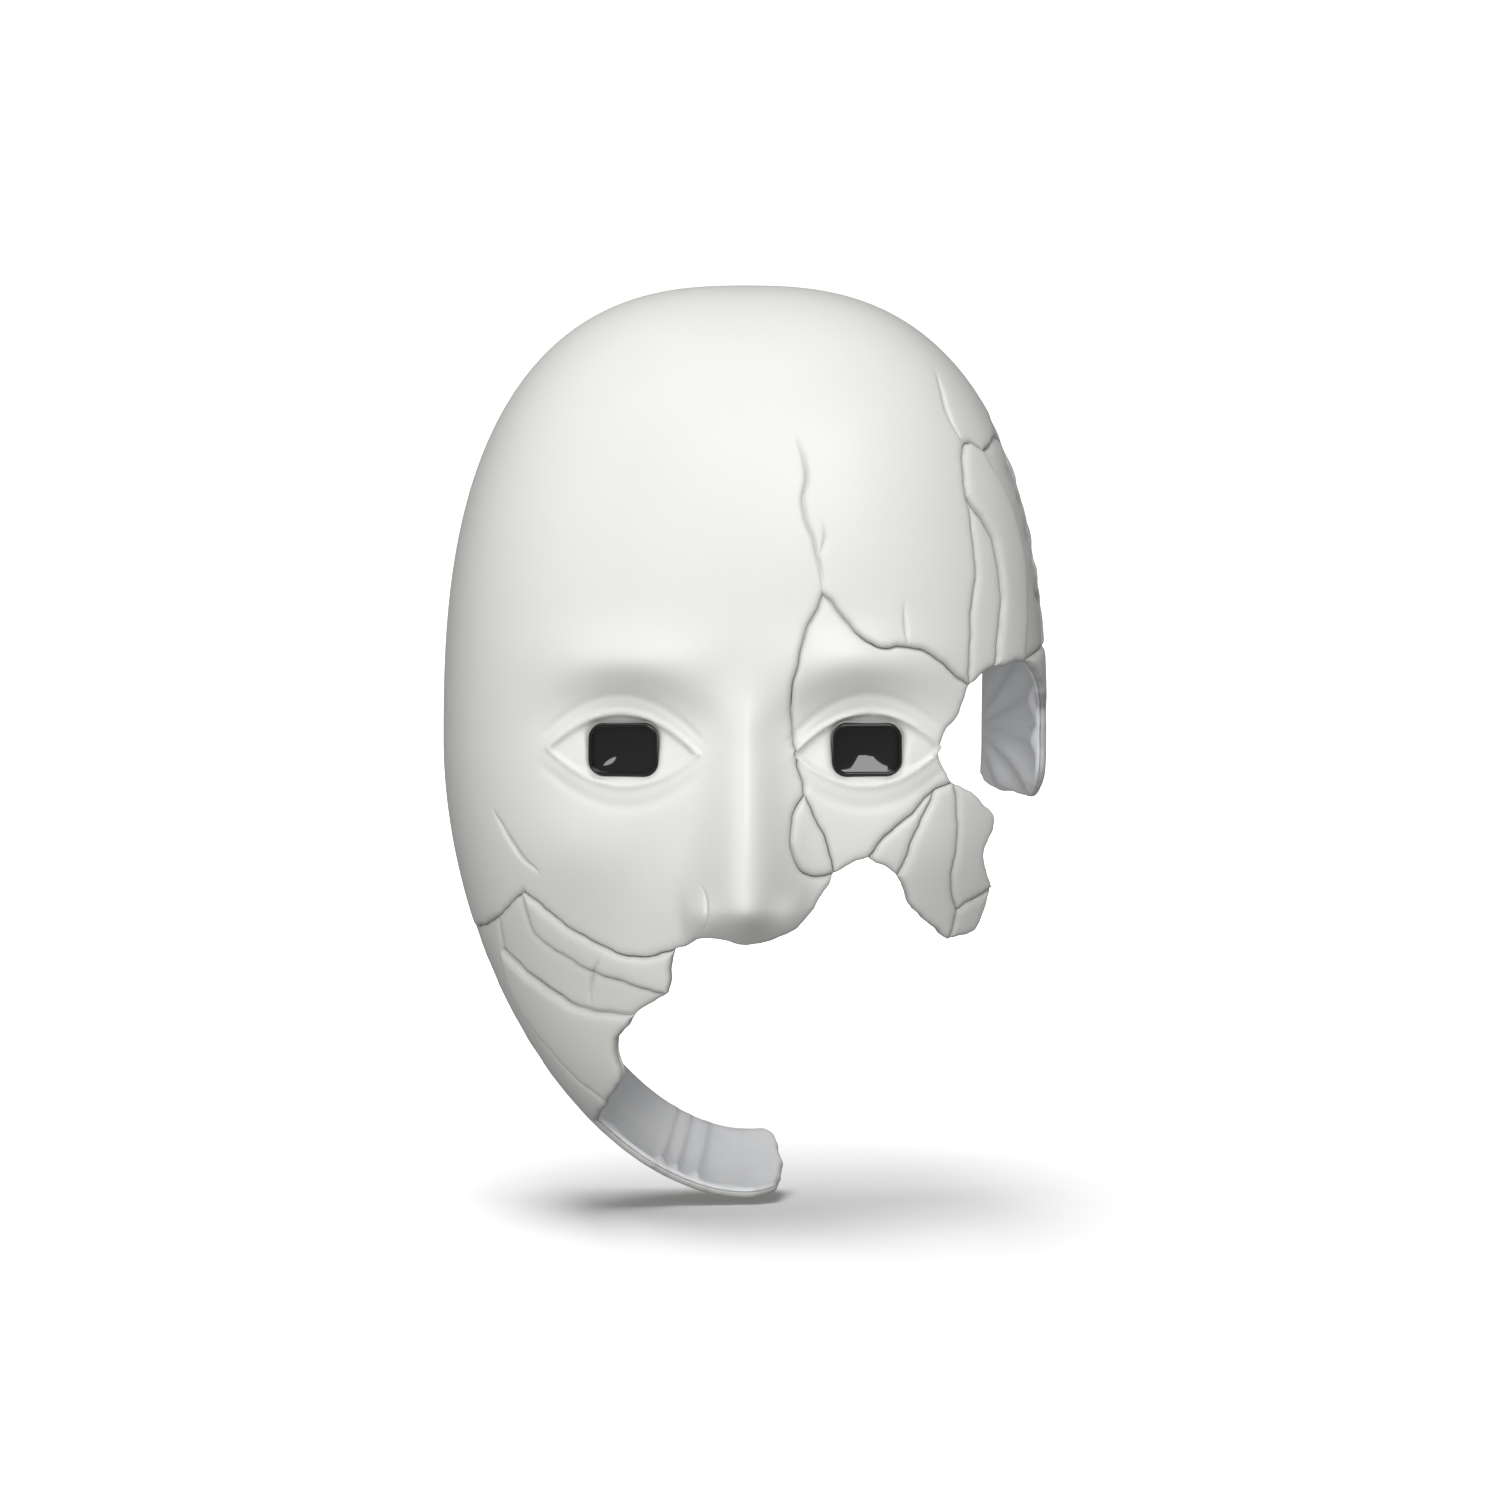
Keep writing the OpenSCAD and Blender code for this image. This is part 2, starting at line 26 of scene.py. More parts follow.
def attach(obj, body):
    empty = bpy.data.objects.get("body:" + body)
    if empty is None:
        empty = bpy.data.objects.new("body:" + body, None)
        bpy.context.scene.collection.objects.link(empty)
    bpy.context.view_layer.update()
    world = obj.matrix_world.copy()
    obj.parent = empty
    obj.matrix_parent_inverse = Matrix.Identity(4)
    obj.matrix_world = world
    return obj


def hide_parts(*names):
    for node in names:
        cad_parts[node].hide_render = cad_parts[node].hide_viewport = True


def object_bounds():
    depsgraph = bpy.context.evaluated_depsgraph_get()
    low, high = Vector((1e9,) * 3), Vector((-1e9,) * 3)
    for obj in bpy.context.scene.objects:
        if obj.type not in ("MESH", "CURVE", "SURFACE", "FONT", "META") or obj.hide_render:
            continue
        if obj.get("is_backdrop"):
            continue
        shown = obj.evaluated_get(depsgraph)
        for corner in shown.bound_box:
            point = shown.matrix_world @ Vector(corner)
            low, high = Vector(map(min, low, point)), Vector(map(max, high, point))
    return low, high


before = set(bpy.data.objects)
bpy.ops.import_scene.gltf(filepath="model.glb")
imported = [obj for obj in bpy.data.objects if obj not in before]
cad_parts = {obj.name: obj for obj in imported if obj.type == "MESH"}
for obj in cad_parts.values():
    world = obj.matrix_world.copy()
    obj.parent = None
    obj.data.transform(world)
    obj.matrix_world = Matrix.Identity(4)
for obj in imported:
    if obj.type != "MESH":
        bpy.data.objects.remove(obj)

LOG = logging.getLogger("mask")
MM = 0.001
Array = np.ndarray
Point = tuple[float, float]
Triple = tuple[float, float, float]
FULL_TURN = 2 * math.pi
OUTLINE_ROW = 90.0
RIM_ROW = 145.0


# Form ------------------------------------------------------------------------


def ramp(x: Array, start: float, end: float) -> Array:
    """Smooth step from 0 at start to 1 at end."""
    t = np.clip((x - start) / (end - start), 0.0, 1.0)
    return t * t * (3 - 2 * t)


def bump(x: Array, z: Array, at: Point, size: Point) -> Array:
    """Round hill of height 1 at a place, with a spread each way."""
    return np.exp(-(((x - at[0]) / size[0]) ** 2) - ((z - at[1]) / size[1]) ** 2)


@dataclass(frozen=True)
class Hill:
    """A round hill of the face, or a hollow where its height is negative."""

    height: float
    at: Point
    spread: Point

    def over(self, x: Array, z: Array) -> Array:
        """Height at places seen from the front."""
        return self.height * bump(x, z, self.at, self.spread)


@dataclass(frozen=True)
class Lids:
    """The lids round an eye, in shares of the almond that the eye's opening would fill."""

    centre_z: float = -0.4
    slant: float = 0.03
    half_width: float = 20.0
    upper: float = 10.0
    lower: float = 9.0
    rim_at: float = 1.02
    rim_width: float = 0.1
    rim_height: Point = (0.8, 0.45)
    ball_sink: float = 0.7
    fold: Triple = (0.5, 1.5, 0.12)
    bag: Triple = (0.35, 1.65, 0.2)

    def over(self, dx: Array, z: Array) -> Array:
        """Height of the lids beside an eye.

        Args:
            dx: distance outwards from the eye's middle.
            z: height over the eye line.

        Returns:
            The height at each place.
        """
        dz = z - self.centre_z - self.slant * dx
        above = dz > 0
        share = np.abs(dz) / np.where(above, self.upper, self.lower) + (dx / self.half_width) ** 2

        def band(at: float, width: float) -> Array:
            """A soft line round the almond, at a share of its size."""
            return np.exp(-(((share - at) / width) ** 2))

        rim = np.where(above, *self.rim_height) * band(self.rim_at, self.rim_width)
        ball = self.ball_sink * ramp(-share, -1.0, -0.88)
        fold = self.fold[0] * band(*self.fold[1:]) * ramp(dz, 1.0, 7.0)
        bag = self.bag[0] * band(*self.bag[1:]) * ramp(-dz, 2.0, 8.0)
        return rim - ball - fold - bag


@dataclass(frozen=True)
class MaskForm:
    """The mask's outer surface, as in the CAD model, with the finer face features on top."""

    half_width: float = 82.5
    half_height: float = 125.0
    front_depth: float = 62.0
    rim_radius: float = 37.5
    rim_arc: float = 55.0
    nose_height: float = 17.0
    eye_spacing: float = 66.0
    crown_power: float = 2.6
    chin_power: float = 1.85
    section_power: float = 2.3
    features: tuple[Hill, ...] = (
        Hill(-6.5, (-3, 4), (17, 11)),
        Hill(3.5, (0, -1), (13, 7)),
        Hill(2.2, (-2, 24), (22, 8)),
        Hill(2.5, (12, -27), (17, 14)),
        Hill(-2.0, (14, -64), (16, 20)),
    )
    nose_wing: Hill = Hill(2.6, (11.5, -46.0), (4.2, 5.5))
    nose_crease: Hill = Hill(1.0, (17.5, -45.0), (2.6, 6.5))
    nose_tip: Hill = Hill(0.9, (0.0, -43.0), (6.0, 6.0))
    brow_ridge: Hill = Hill(1.1, (-1, 24), (20, 6.5))
    brow_hollow: Hill = Hill(1.1, (-2, 15), (18, 5))
    brow_arch: float = 0.014
    lids: Lids = Lids()
    detail: float = 1.0

    @property
    def rim_depth(self) -> float:
        """Depth of the rolled rim behind the widest outline."""
        return self.rim_radius * math.sin(math.radians(self.rim_arc))

    def outline(self, angle: Array) -> Array:
        """Radius of the widest outline.

        Args:
            angle: degrees round the face.

        Returns:
            The radius at each angle.
        """
        c, s = np.cos(np.radians(angle)), np.sin(np.radians(angle))
        n = np.where(s >= 0, self.crown_power, self.chin_power)
        return (np.abs(c / self.half_width) ** n + np.abs(s / self.half_height) ** n) ** (-1 / n)

    def nose(self, x: Array, z: Array) -> Array:
        """Height of the nose ridge, its tip and its wings.

        Args:
            x: distance to the right of the middle.
            z: height over the eye line.

        Returns:
            The height at each place.
        """
        down = ramp(-z, -20, 44)
        under = 1 - ramp(-z, 42, 58)
        ridge = self.nose_height * (0.12 + 0.88 * down) * under * (1 - ramp(z, 4, 26))
        height = ridge * np.exp(-((x / (6.5 + 6 * down)) ** 2))
        u = np.abs(x)
        fine = self.nose_wing.over(u, z) - self.nose_crease.over(u, z) + self.nose_tip.over(x, z)
        return height + self.detail * fine

    def eyes(self, x: Array, z: Array) -> Array:
        """Height of the lids of both eyes."""
        return self.lids.over(np.abs(x) - self.eye_spacing / 2, z)

    def brow(self, x: Array, z: Array) -> Array:
        """A crisper brow ridge with a hollow beneath it.

        Args:
            x: distance to the right of the middle.
            z: height over the eye line.

        Returns:
            The height at each place.
        """
        out = np.abs(x) - self.eye_spacing / 2
        arched = z + self.brow_arch * out**2
        return self.brow_ridge.over(out, arched) - self.brow_hollow.over(out, arched)

    def relief(self, x: Array, z: Array) -> Array:
        """Height of all features above the plain front.

        Args:
            x: distance to the right of the middle.
            z: height over the eye line.

        Returns:
            The height at each place.
        """
        out = np.abs(x) - self.eye_spacing / 2
        plain = self.nose(x, z) + sum(hill.over(out, z) for hill in self.features)
        return plain + self.detail * (self.eyes(x, z) + self.brow(x, z))

    def skin(self, angle: Array, row: Array) -> Array:
        """Points of the outer surface.

        Args:
            angle: degrees round the face, from +X towards +Z.
            row: 0 in the middle of the face, 90 at the widest outline, 145 at the rim.

        Returns:
            An array of points, one row each, in millimetres.
        """
        behind = np.radians(np.maximum(0, row - 90))
        front = np.radians(np.minimum(row, 90))
        power = 2 / self.section_power
        radius = self.outline(angle) * np.sin(front) ** power - self.rim_radius * (1 - np.cos(behind))
        depth = self.front_depth * np.maximum(0, np.cos(front)) ** power
        x = radius * np.cos(np.radians(angle))
        z = radius * np.sin(np.radians(angle))
        out = self.relief(x, z) * (1 - ramp(row, 58, 88))
        y = -self.rim_depth - depth + self.rim_radius * np.sin(behind) - out
        return np.stack([x, y, z], axis=-1)

    def on_map(self, flat: Array) -> Array:
        """Points of the surface at places on the flat map."""
        row = np.maximum(np.hypot(flat[..., 0], flat[..., 1]), 1e-6)
        return self.skin(np.degrees(np.arctan2(flat[..., 1], flat[..., 0])), row)

    def slopes(self, flat: Array) -> tuple[Array, Array, Array]:
        """How the surface runs at places on the map.

        Args:
            flat: places on the flat map.

        Returns:
            The change of the point along each axis of the map, and the outward normal.
        """
        e = 0.12
        du = (self.on_map(flat + [e, 0]) - self.on_map(flat - [e, 0])) / (2 * e)
        dv = (self.on_map(flat + [0, e]) - self.on_map(flat - [0, e])) / (2 * e)
        n = np.cross(du, dv)
        return du, dv, n / np.linalg.norm(n, axis=-1, keepdims=True)

    def seen(self, points: Sequence[Point]) -> Array:
        """Map places of points on the front.

        Args:
            points: [x, z] as seen from the front.

        Returns:
            Their places on the flat map.
        """
        p = np.array(points, float)
        angle = np.degrees(np.arctan2(p[:, 1], p[:, 0]))
        share = np.minimum(1, np.linalg.norm(p, axis=1) / self.outline(angle))
        row = np.degrees(np.arcsin(share ** (self.section_power / 2)))
        return polar(angle, row)


def polar(angle: Array | float, row: Array | float) -> Array:
    """Map place of an angle and a row."""
    a = np.radians(angle)
    return np.stack([np.cos(a) * row, np.sin(a) * row], axis=-1)


def angle_row(flat: Array) -> tuple[Array, Array]:
    """Angle, from -180 to 180 degrees, and row of places on the map."""
    return np.degrees(np.arctan2(flat[:, 1], flat[:, 0])), np.hypot(flat[:, 0], flat[:, 1])


FORM = MaskForm()
PLAIN = MaskForm(detail=0.0)


# Crack and break network -------------------------------------------------------


class Line(Enum):
    """What a line of the network does to the glaze."""

    BREAK = "free edge of the mask"
    CRACK = "parts two shards"
    GROOVE = "crack that dies out inside a shard"


@dataclass
class Stroke:
    """One line of the network, as places on the map."""

    kind: Line
    path: Array
    wobble: float = 0.0
    closed: bool = False
    depth: float = 0.9
    samples: Array = field(default_factory=lambda: np.empty((0, 2)))


def round_corners(path: Array, passes: int = 2) -> Array:
    """Cuts the corners of an open path and keeps its two ends.

    Args:
        path: the path's points.
        passes: how many times every corner is cut.

    Returns:
        The rounded path.
    """
    for _ in range(passes):
        if len(path) < 3:
            return path
        a, b = path[:-1], path[1:]
        cut = np.stack([a * 0.75 + b * 0.25, a * 0.25 + b * 0.75], axis=1).reshape(-1, 2)
        path = np.concatenate([path[:1], cut[1:-1], path[-1:]])
    return path


def spaced(path: Array, gap: float) -> Array:
    """Places along a path that are evenly spaced on the mask.

    Args:
        path: the path's places on the map.
        gap: distance between places, in millimetres on the mask.

    Returns:
        The evenly spaced places.
    """
    steps = [np.linspace(a, b, 24, endpoint=False) for a, b in zip(path[:-1], path[1:])]
    fine = np.concatenate([*steps, path[-1:]])
    walk = np.linalg.norm(np.diff(FORM.on_map(fine), axis=0), axis=1)
    along = np.concatenate([[0], np.cumsum(walk)])
    count = max(2, round(along[-1] / gap) + 1)
    want = np.linspace(0, along[-1], count)
    return np.stack([np.interp(want, along, fine[:, i]) for i in (0, 1)], axis=1)


def side_steps(samples: Array, distances: Sequence[float], closed: bool) -> Array:
    """Places beside a path.

    Args:
        samples: the path's places on the map.
        distances: how far to step to each side, in millimetres on the mask.
        closed: whether the path's end meets its start.

    Returns:
        One row of places for each side and distance.
    """
    if closed:
        ahead, back = np.roll(samples, -1, 0), np.roll(samples, 1, 0)
    else:
        ahead, back = np.vstack([samples[1:], samples[-1:]]), np.vstack([samples[:1], samples[:-1]])
    du, dv, n = FORM.slopes(samples)
    along = FORM.on_map(ahead) - FORM.on_map(back)
    side = np.cross(n, along)
    side /= np.linalg.norm(side, axis=1, keepdims=True)
    a, b, c = (du * du).sum(1), (du * dv).sum(1), (dv * dv).sum(1)
    p, q = (du * side).sum(1), (dv * side).sum(1)
    det = a * c - b * b
    step = np.stack([(c * p - b * q) / det, (a * q - b * p) / det], axis=1)
    return np.stack([samples + sign * d * step for sign in (-1, 1) for d in distances])


@dataclass(frozen=True)
class Patch:
    """Part of the map, between two angles and two rows, with its own spacing of places."""

    angles: Point
    rows: Point
    pitch: float

    def holds(self, angle: Array, row: Array) -> Array:
        """Which places lie in the patch."""
        turned = (angle - self.angles[0]) % 360 < self.angles[1] - self.angles[0]
        return turned & (row > self.rows[0]) & (row < self.rows[1])

    def places(self) -> Array:
        """Spreads places evenly over the patch.

        Returns:
            The places on the map.
        """
        found, row, shift = [], self.rows[0], 0.0
        middle = sum(self.angles) / 2
        while row < self.rows[1]:
            here, turned, ahead = FORM.skin(
                np.array([middle, middle + 1, middle]), np.array([row, row, row + 0.5])
            )
            step = self.pitch / np.linalg.norm(turned - here)
            angle = np.arange(self.angles[0] + shift * step, self.angles[1], step)
            found.append(polar(angle, np.full(len(angle), row)))
            row += 0.87 * self.pitch / (2 * np.linalg.norm(ahead - here))
            shift = 0.5 - shift
        return np.concatenate(found)


@dataclass
class CrackMap:
    """The network of lines, and the flat map cut into regions by it."""

    patches: tuple[Patch, ...] = (
        Patch((-24, 32), (13, 48), 0.8),
        Patch((148, 204), (13, 48), 0.8),
        Patch((-13, 20), (91, 144), 0.95),
        Patch((244, 277), (91, 144), 0.8),
    )
    gap: float = 0.75
    steps: tuple[float, ...] = (0.22, 0.5, 0.95, 1.6)
    strokes: list[Stroke] = field(default_factory=list)
    rng: np.random.Generator = field(default_factory=lambda: np.random.default_rng(11))

    def add(self, kind: Line, path: Array, pins: Sequence[Point] = (), **facts: float) -> None:
        """Adds a line, cut at its pinned points so that its corners round between them.

        Args:
            kind: what the line does to the glaze.
            path: its places on the map.
            pins: points [x, z] that other lines meet.
            facts: the stroke's other fields.
        """
        pinned = FORM.seen(pins) if len(pins) else np.empty((0, 2))
        cuts = [
            i
            for i, p in enumerate(path)
            if i in (0, len(path) - 1) or (len(pinned) and np.abs(pinned - p).sum(1).min() < 1e-6)
        ]
        for a, b in zip(cuts[:-1], cuts[1:]):
            self.strokes.append(Stroke(kind, round_corners(path[a : b + 1]), **facts))

    def loop(self, path: Array) -> None:
        """Adds a closed free edge."""
        self.strokes.append(Stroke(Line.BREAK, np.vstack([path, path[:1]]), closed=True))

    def sample(self) -> None:
        """Spaces places along every line, with a little waver across it."""
        for stroke in self.strokes:
            places = spaced(stroke.path, self.gap)
            if stroke.closed:
                places = places[:-1]
            elif stroke.wobble and len(places) > 6:
                along = np.arange(len(places)) * self.gap
                fade = np.minimum(1, np.minimum(along, along[::-1]) / 3.0)
                phase = self.rng.uniform(0, 6.28, 3)
                waver = sum(
                    np.sin(along / wave + start) * size
                    for wave, start, size in zip((2.9, 1.3, 0.62), phase, (0.6, 0.3, 0.12))
                )
                step = side_steps(places, [1.0], False)[1] - places
                places = places + step * (waver * fade * stroke.wobble)[:, None]
            stroke.samples = places

    def fill(self, near: Callable[[Array], Array], coarse: float) -> Array:
        """Spreads places over the whole map, denser in the middle and in the patches.

        Args:
            near: gives the distance from points to the nearest line.
            coarse: distance between places on the plain parts, in millimetres.

        Returns:
            The places that are clear of the lines.
        """
        found = []
        probes = np.array([45.0, 270.0])
        row = 0.4
        while row < RIM_ROW:
            ring = FORM.skin(np.linspace(0, 360, 60), np.full(60, row))
            length = np.linalg.norm(np.diff(ring, axis=0), axis=1).sum()
            pitch = coarse * (0.7 if row < 32 else 1.0)
            count = max(6, int(length / pitch))
            angle = self.rng.uniform(0, 360) + np.arange(count) * 360 / count
            rows = row + self.rng.uniform(-0.06, 0.06, count)
            plain = ~np.any([patch.holds(angle, rows) for patch in self.patches], axis=0)
            found.append(polar(angle[plain], rows[plain]))
            walk = FORM.skin(probes, np.full(2, row + 1)) - FORM.skin(probes, np.full(2, row))
            row += 0.87 * pitch / np.linalg.norm(walk, axis=1).mean()
        places = np.concatenate([*found, *(patch.places() for patch in self.patches)])
        return places[near(FORM.on_map(places)) > self.steps[-1] + 0.55]

    def cut(self, kinds: Sequence[Line], coarse: float) -> "CutMap":
        """Triangulates the map along lines that have been sampled.

        Args:
            kinds: the kinds of line to follow.
            coarse: distance between places on the plain parts, in millimetres.

        Returns:
            The triangles, their neighbours, and which edges part two regions.
        """
        strokes = [s for s in self.strokes if s.kind in kinds]
        lines = np.concatenate([FORM.on_map(s.samples) for s in strokes])
        tree = kd_tree(lines)

        def near(points: Array) -> Array:
            """Distance from points to the nearest line."""
            return np.array([tree.find(p)[2] for p in points])

        verts, edges, parts = [], [], []
        for stroke in strokes:
            start, count = len(verts), len(stroke.samples)
            verts += list(stroke.samples)
            pairs = [(start + i, start + i + 1) for i in range(count - 1)]
            if stroke.closed:
                pairs.append((start + count - 1, start))
            edges += pairs
            parts += [stroke.kind is not Line.GROOVE] * len(pairs)
        extra = []
        for stroke in strokes:
            rows = side_steps(stroke.samples, self.steps, stroke.closed)
            for row, distance in zip(rows, self.steps * 2):
                extra.append(row[near(FORM.on_map(row)) > 0.9 * distance])
        side = thinned(np.concatenate(extra))
        verts += list(side) + list(self.fill(near, coarse))
        flat = [Vector((float(v[0]), float(v[1]))) for v in verts]
        out = delaunay_2d_cdt(flat, edges, [], 0, 1e-5, True)
        places = np.array([(v[0], v[1]) for v in out[0]])
        wall = {
            tuple(sorted(edge))
            for edge, source in zip(out[1], out[4])
            if any(parts[i] for i in source if i < len(parts))
        }
        faces = np.array([f for f in out[2] if len(f) == 3])
        LOG.info("map of %d places and %d triangles", len(places), len(faces))
        return CutMap(places, faces, wall)


def kd_tree(points: Array) -> KDTree:
    """Sorts points for searches by distance.

    Args:
        points: points in millimetres.

    Returns:
        The search tree.
    """
    tree = KDTree(len(points))
    for i, p in enumerate(points):
        tree.insert(p, i)
    tree.balance()
    return tree


def thinned(places: Array, least: float = 0.16) -> Array:
    """Leaves out near doubles.

    Args:
        places: places on the map.
        least: the smallest distance to keep, in millimetres on the mask.

    Returns:
        The places that are left.
    """
    points = FORM.on_map(places)
    tree = kd_tree(points)
    keep = np.ones(len(places), bool)
    for i, p in enumerate(points):
        if keep[i]:
            for _, j, _ in tree.find_range(p, least):
                if j > i:
                    keep[j] = False
    return places[keep]


@dataclass
class CutMap:
    """Triangles of the cut map, and the regions that grow from seeds."""

    places: Array
    faces: Array
    walls: set[tuple[int, int]]
    touching: dict[tuple[int, int], list[int]] = field(default_factory=dict)

    def __post_init__(self) -> None:
        """Lists the triangles on each edge."""
        for i, f in enumerate(self.faces):
            for a, b in ((f[0], f[1]), (f[1], f[2]), (f[2], f[0])):
                self.touching.setdefault((min(a, b), max(a, b)), []).append(i)

    def region(self, seed: Array) -> Array:
        """Grows a shard from a place inside it, up to the parting lines round it.

        Args:
            seed: a place on the map.

        Returns:
            The triangles of the shard.
        """
        corners = self.places[self.faces]
        a, b, c = corners[:, 0], corners[:, 1], corners[:, 2]

        def turn(p: Array, q: Array) -> Array:
            """Which side of the edges from p to q the seed lies on, as a signed area."""
            return (q[:, 0] - p[:, 0]) * (seed[1] - p[:, 1]) - (q[:, 1] - p[:, 1]) * (seed[0] - p[:, 0])

        signs = np.stack([turn(a, b), turn(b, c), turn(c, a)])
        inside = np.flatnonzero((signs >= 0).all(0) | (signs <= 0).all(0))
        todo, found = [int(inside[0])], {int(inside[0])}
        while todo:
            f = self.faces[todo.pop()]
            for p, q in ((f[0], f[1]), (f[1], f[2]), (f[2], f[0])):
                edge = (min(p, q), max(p, q))
                if edge in self.walls:
                    continue
                for other in self.touching[edge]:
                    if other not in found:
                        found.add(other)
                        todo.append(other)
        return np.array(sorted(found))


@dataclass(frozen=True)
class Network:
    """Routes of the breaks and cracks, as [x, z] seen from the front. Neighbours share points."""

    jaw_break: tuple[Point, ...] = (
        (-38, -97), (-33, -90), (-36, -80), (-30, -72), (-21, -66), (-19, -54),
    )
    nose_break: tuple[Point, ...] = ((-9, -50), (3, -53), (15, -48), (21, -40), (24, -33))
    cheek_break: tuple[Point, ...] = (
        (33, -29), (41, -34), (46, -45), (55, -52), (64, -50), (67, -38), (64, -28), (69, -19), (62, -12),
    )
    eye_break: tuple[Point, ...] = ((56, -9), (52, -3), (54, 4), (58, 9), (61, 17))
    temple_break: tuple[Point, ...] = ((68, 22), (76, 23))
    pins: tuple[Point, ...] = (
        (-38, -97), (-30, -72), (-21, -66), (-19, -54), (24, -33), (33, -29), (41, -34), (55, -52),
        (67, -38), (56, -9), (61, 17), (68, 22), (76, 23), (16, -12), (51, -11), (57, -44), (21, 42),
        (60, 68), (65, 80), (-60, -39), (-67, -46), (-66, -55),
    )
    cracks: tuple[tuple[Point, ...], ...] = (
        ((24, -33), (21, -22), (16, -12), (14, 0), (12, 15), (15, 29), (21, 42)),
        ((21, 42), (28, 34), (36, 27), (44, 29), (52, 25), (61, 17)),
        ((16, -12), (12, -19), (13, -29), (18, -35), (24, -33)),
        ((33, -29), (38, -23), (45, -17), (51, -11), (56, -9)),
        ((51, -11), (46, -23), (41, -34)),
        ((56, -9), (58, -22), (55, -35), (57, -44), (55, -52)),
        ((57, -44), (62, -41), (67, -38)),
        ((61, 17), (61, 34), (63, 50), (60, 68)),
        ((68, 22), (70, 40), (68, 56), (60, 68)),
        ((76, 23), (77, 44), (74, 62), (65, 80)),
        ((60, 68), (58, 84), (65, 80)),
        ((-19, -54), (-27, -57), (-39, -54), (-50, -47), (-60, -39)),
        ((-21, -66), (-34, -63), (-47, -58), (-58, -50), (-60, -39)),
        ((-30, -72), (-42, -72), (-54, -66), (-66, -55), (-67, -46), (-60, -39)),
        ((-38, -97), (-48, -89), (-57, -78), (-64, -67), (-66, -55)),
    )
    grooves: tuple[tuple[Point, ...], ...] = (
        ((21, 42), (20, 52), (15, 64), (17, 74), (14, 84)),
        ((20, 52), (22, 57), (21, 61)),
        ((58, 84), (54, 92), (52, 101)),
        ((44, 29), (42.5, 35), (43, 39)),
        ((-39, -57), (-43, -65), (-42, -70)),
        ((-56, -33), (-62, -28), (-68, -17)),
        ((-11, -37.5), (-10.3, -42), (-10.9, -49)),
    )
    flap: Point = (-11.0, 18.0)
    chin: Point = (237.0, 275.0)
    jaw_foot: float = 248.0
    jaw_head: float = 214.3
    temple_head: float = 50.6
    flap_top: tuple[Point, ...] = ((78.8, 21.5), (80.8, 18), (81.9, 13.5))
    flap_foot: tuple[Point, ...] = ((2.8, 95), (0.7, 103), (0, 114), (0, 134), (0.9, 142), (3, 145))
    chin_tip: tuple[Point, ...] = (
        (-4.5, 145), (-1.2, 143), (-0.2, 138), (0, 118), (-0.4, 103), (-1.6, 96), (-4, 90),
    )

    @staticmethod
    def turned(path: Sequence[Point], angle: float) -> Array:
        """Map places of points [angle, row] whose angles are counted from one of the face's."""
        return polar([angle + a for a, _ in path], [row for _, row in path])

    @staticmethod
    def ring(start: float, end: float, row: float) -> Array:
        """A path round the face along one row, with a place at about every degree."""
        return polar(np.linspace(start, end, max(3, int(abs(end - start)))), row)

    def lay(self, cracks: CrackMap, holes: Sequence[Array]) -> None:
        """Adds every line and hole to the map.

        Args:
            cracks: the map that takes the lines.
            holes: the edges of the windows and of the eyelet's hole.
        """
        front = self.jaw_break + self.nose_break + self.cheek_break + self.eye_break + self.temple_break
        low, high = self.flap
        edge = np.vstack([
            polar(self.jaw_foot, OUTLINE_ROW), FORM.seen(front), FORM.seen(self.flap_top),
            polar(np.linspace(7, low + 5, 14), OUTLINE_ROW), self.turned(self.flap_foot, low),
        ])
        cracks.add(Line.BREAK, edge, self.pins, wobble=0.5)
        for path in self.cracks:
            cracks.add(Line.CRACK, FORM.seen(path), self.pins, wobble=0.4)
        for path in self.grooves:
            cracks.add(Line.GROOVE, FORM.seen(path), self.pins, wobble=0.3)

        chin, end = self.chin
        cracks.add(Line.BREAK, self.ring(low + 3, end - 4.5, RIM_ROW))
        under = self.ring(end - 5, self.jaw_foot, OUTLINE_ROW)
        cracks.add(Line.BREAK, np.vstack([self.turned(self.chin_tip, end), under]), wobble=0.6)
        for start, stop in ((high, self.temple_head), (self.jaw_head, chin), (chin, self.jaw_foot)):
            cracks.strokes.append(Stroke(Line.CRACK, self.ring(start, stop, OUTLINE_ROW), wobble=0.5))
        for angle in (high, chin):
            spoke = polar(angle, np.linspace(OUTLINE_ROW, RIM_ROW + 1, 12))
            cracks.strokes.append(Stroke(Line.CRACK, spoke, wobble=0.6))
        for point, angle, wobble in (
            (self.temple_break[-1], high, 0.0),
            ((65, 80), self.temple_head, 0.3),
            ((-67, -46), self.jaw_head, 0.3),
        ):
            ends = np.vstack([FORM.seen([point]), polar(angle, OUTLINE_ROW)])
            cracks.strokes.append(Stroke(Line.CRACK, ends, wobble=wobble))
        for hole in holes:
            cracks.loop(hole)


# Meshes ------------------------------------------------------------------------


def bands(loops: int, around: int) -> list[Sequence[int]]:
    """Faces between neighbouring loops of equal length.

    Args:
        loops: how many loops there are.
        around: how many points each loop has.

    Returns:
        Four corner indices for each face.
    """
    return [
        (low + i, low + (i + 1) % around, low + around + (i + 1) % around, low + around + i)
        for low in range(0, (loops - 1) * around, around)
        for i in range(around)
    ]


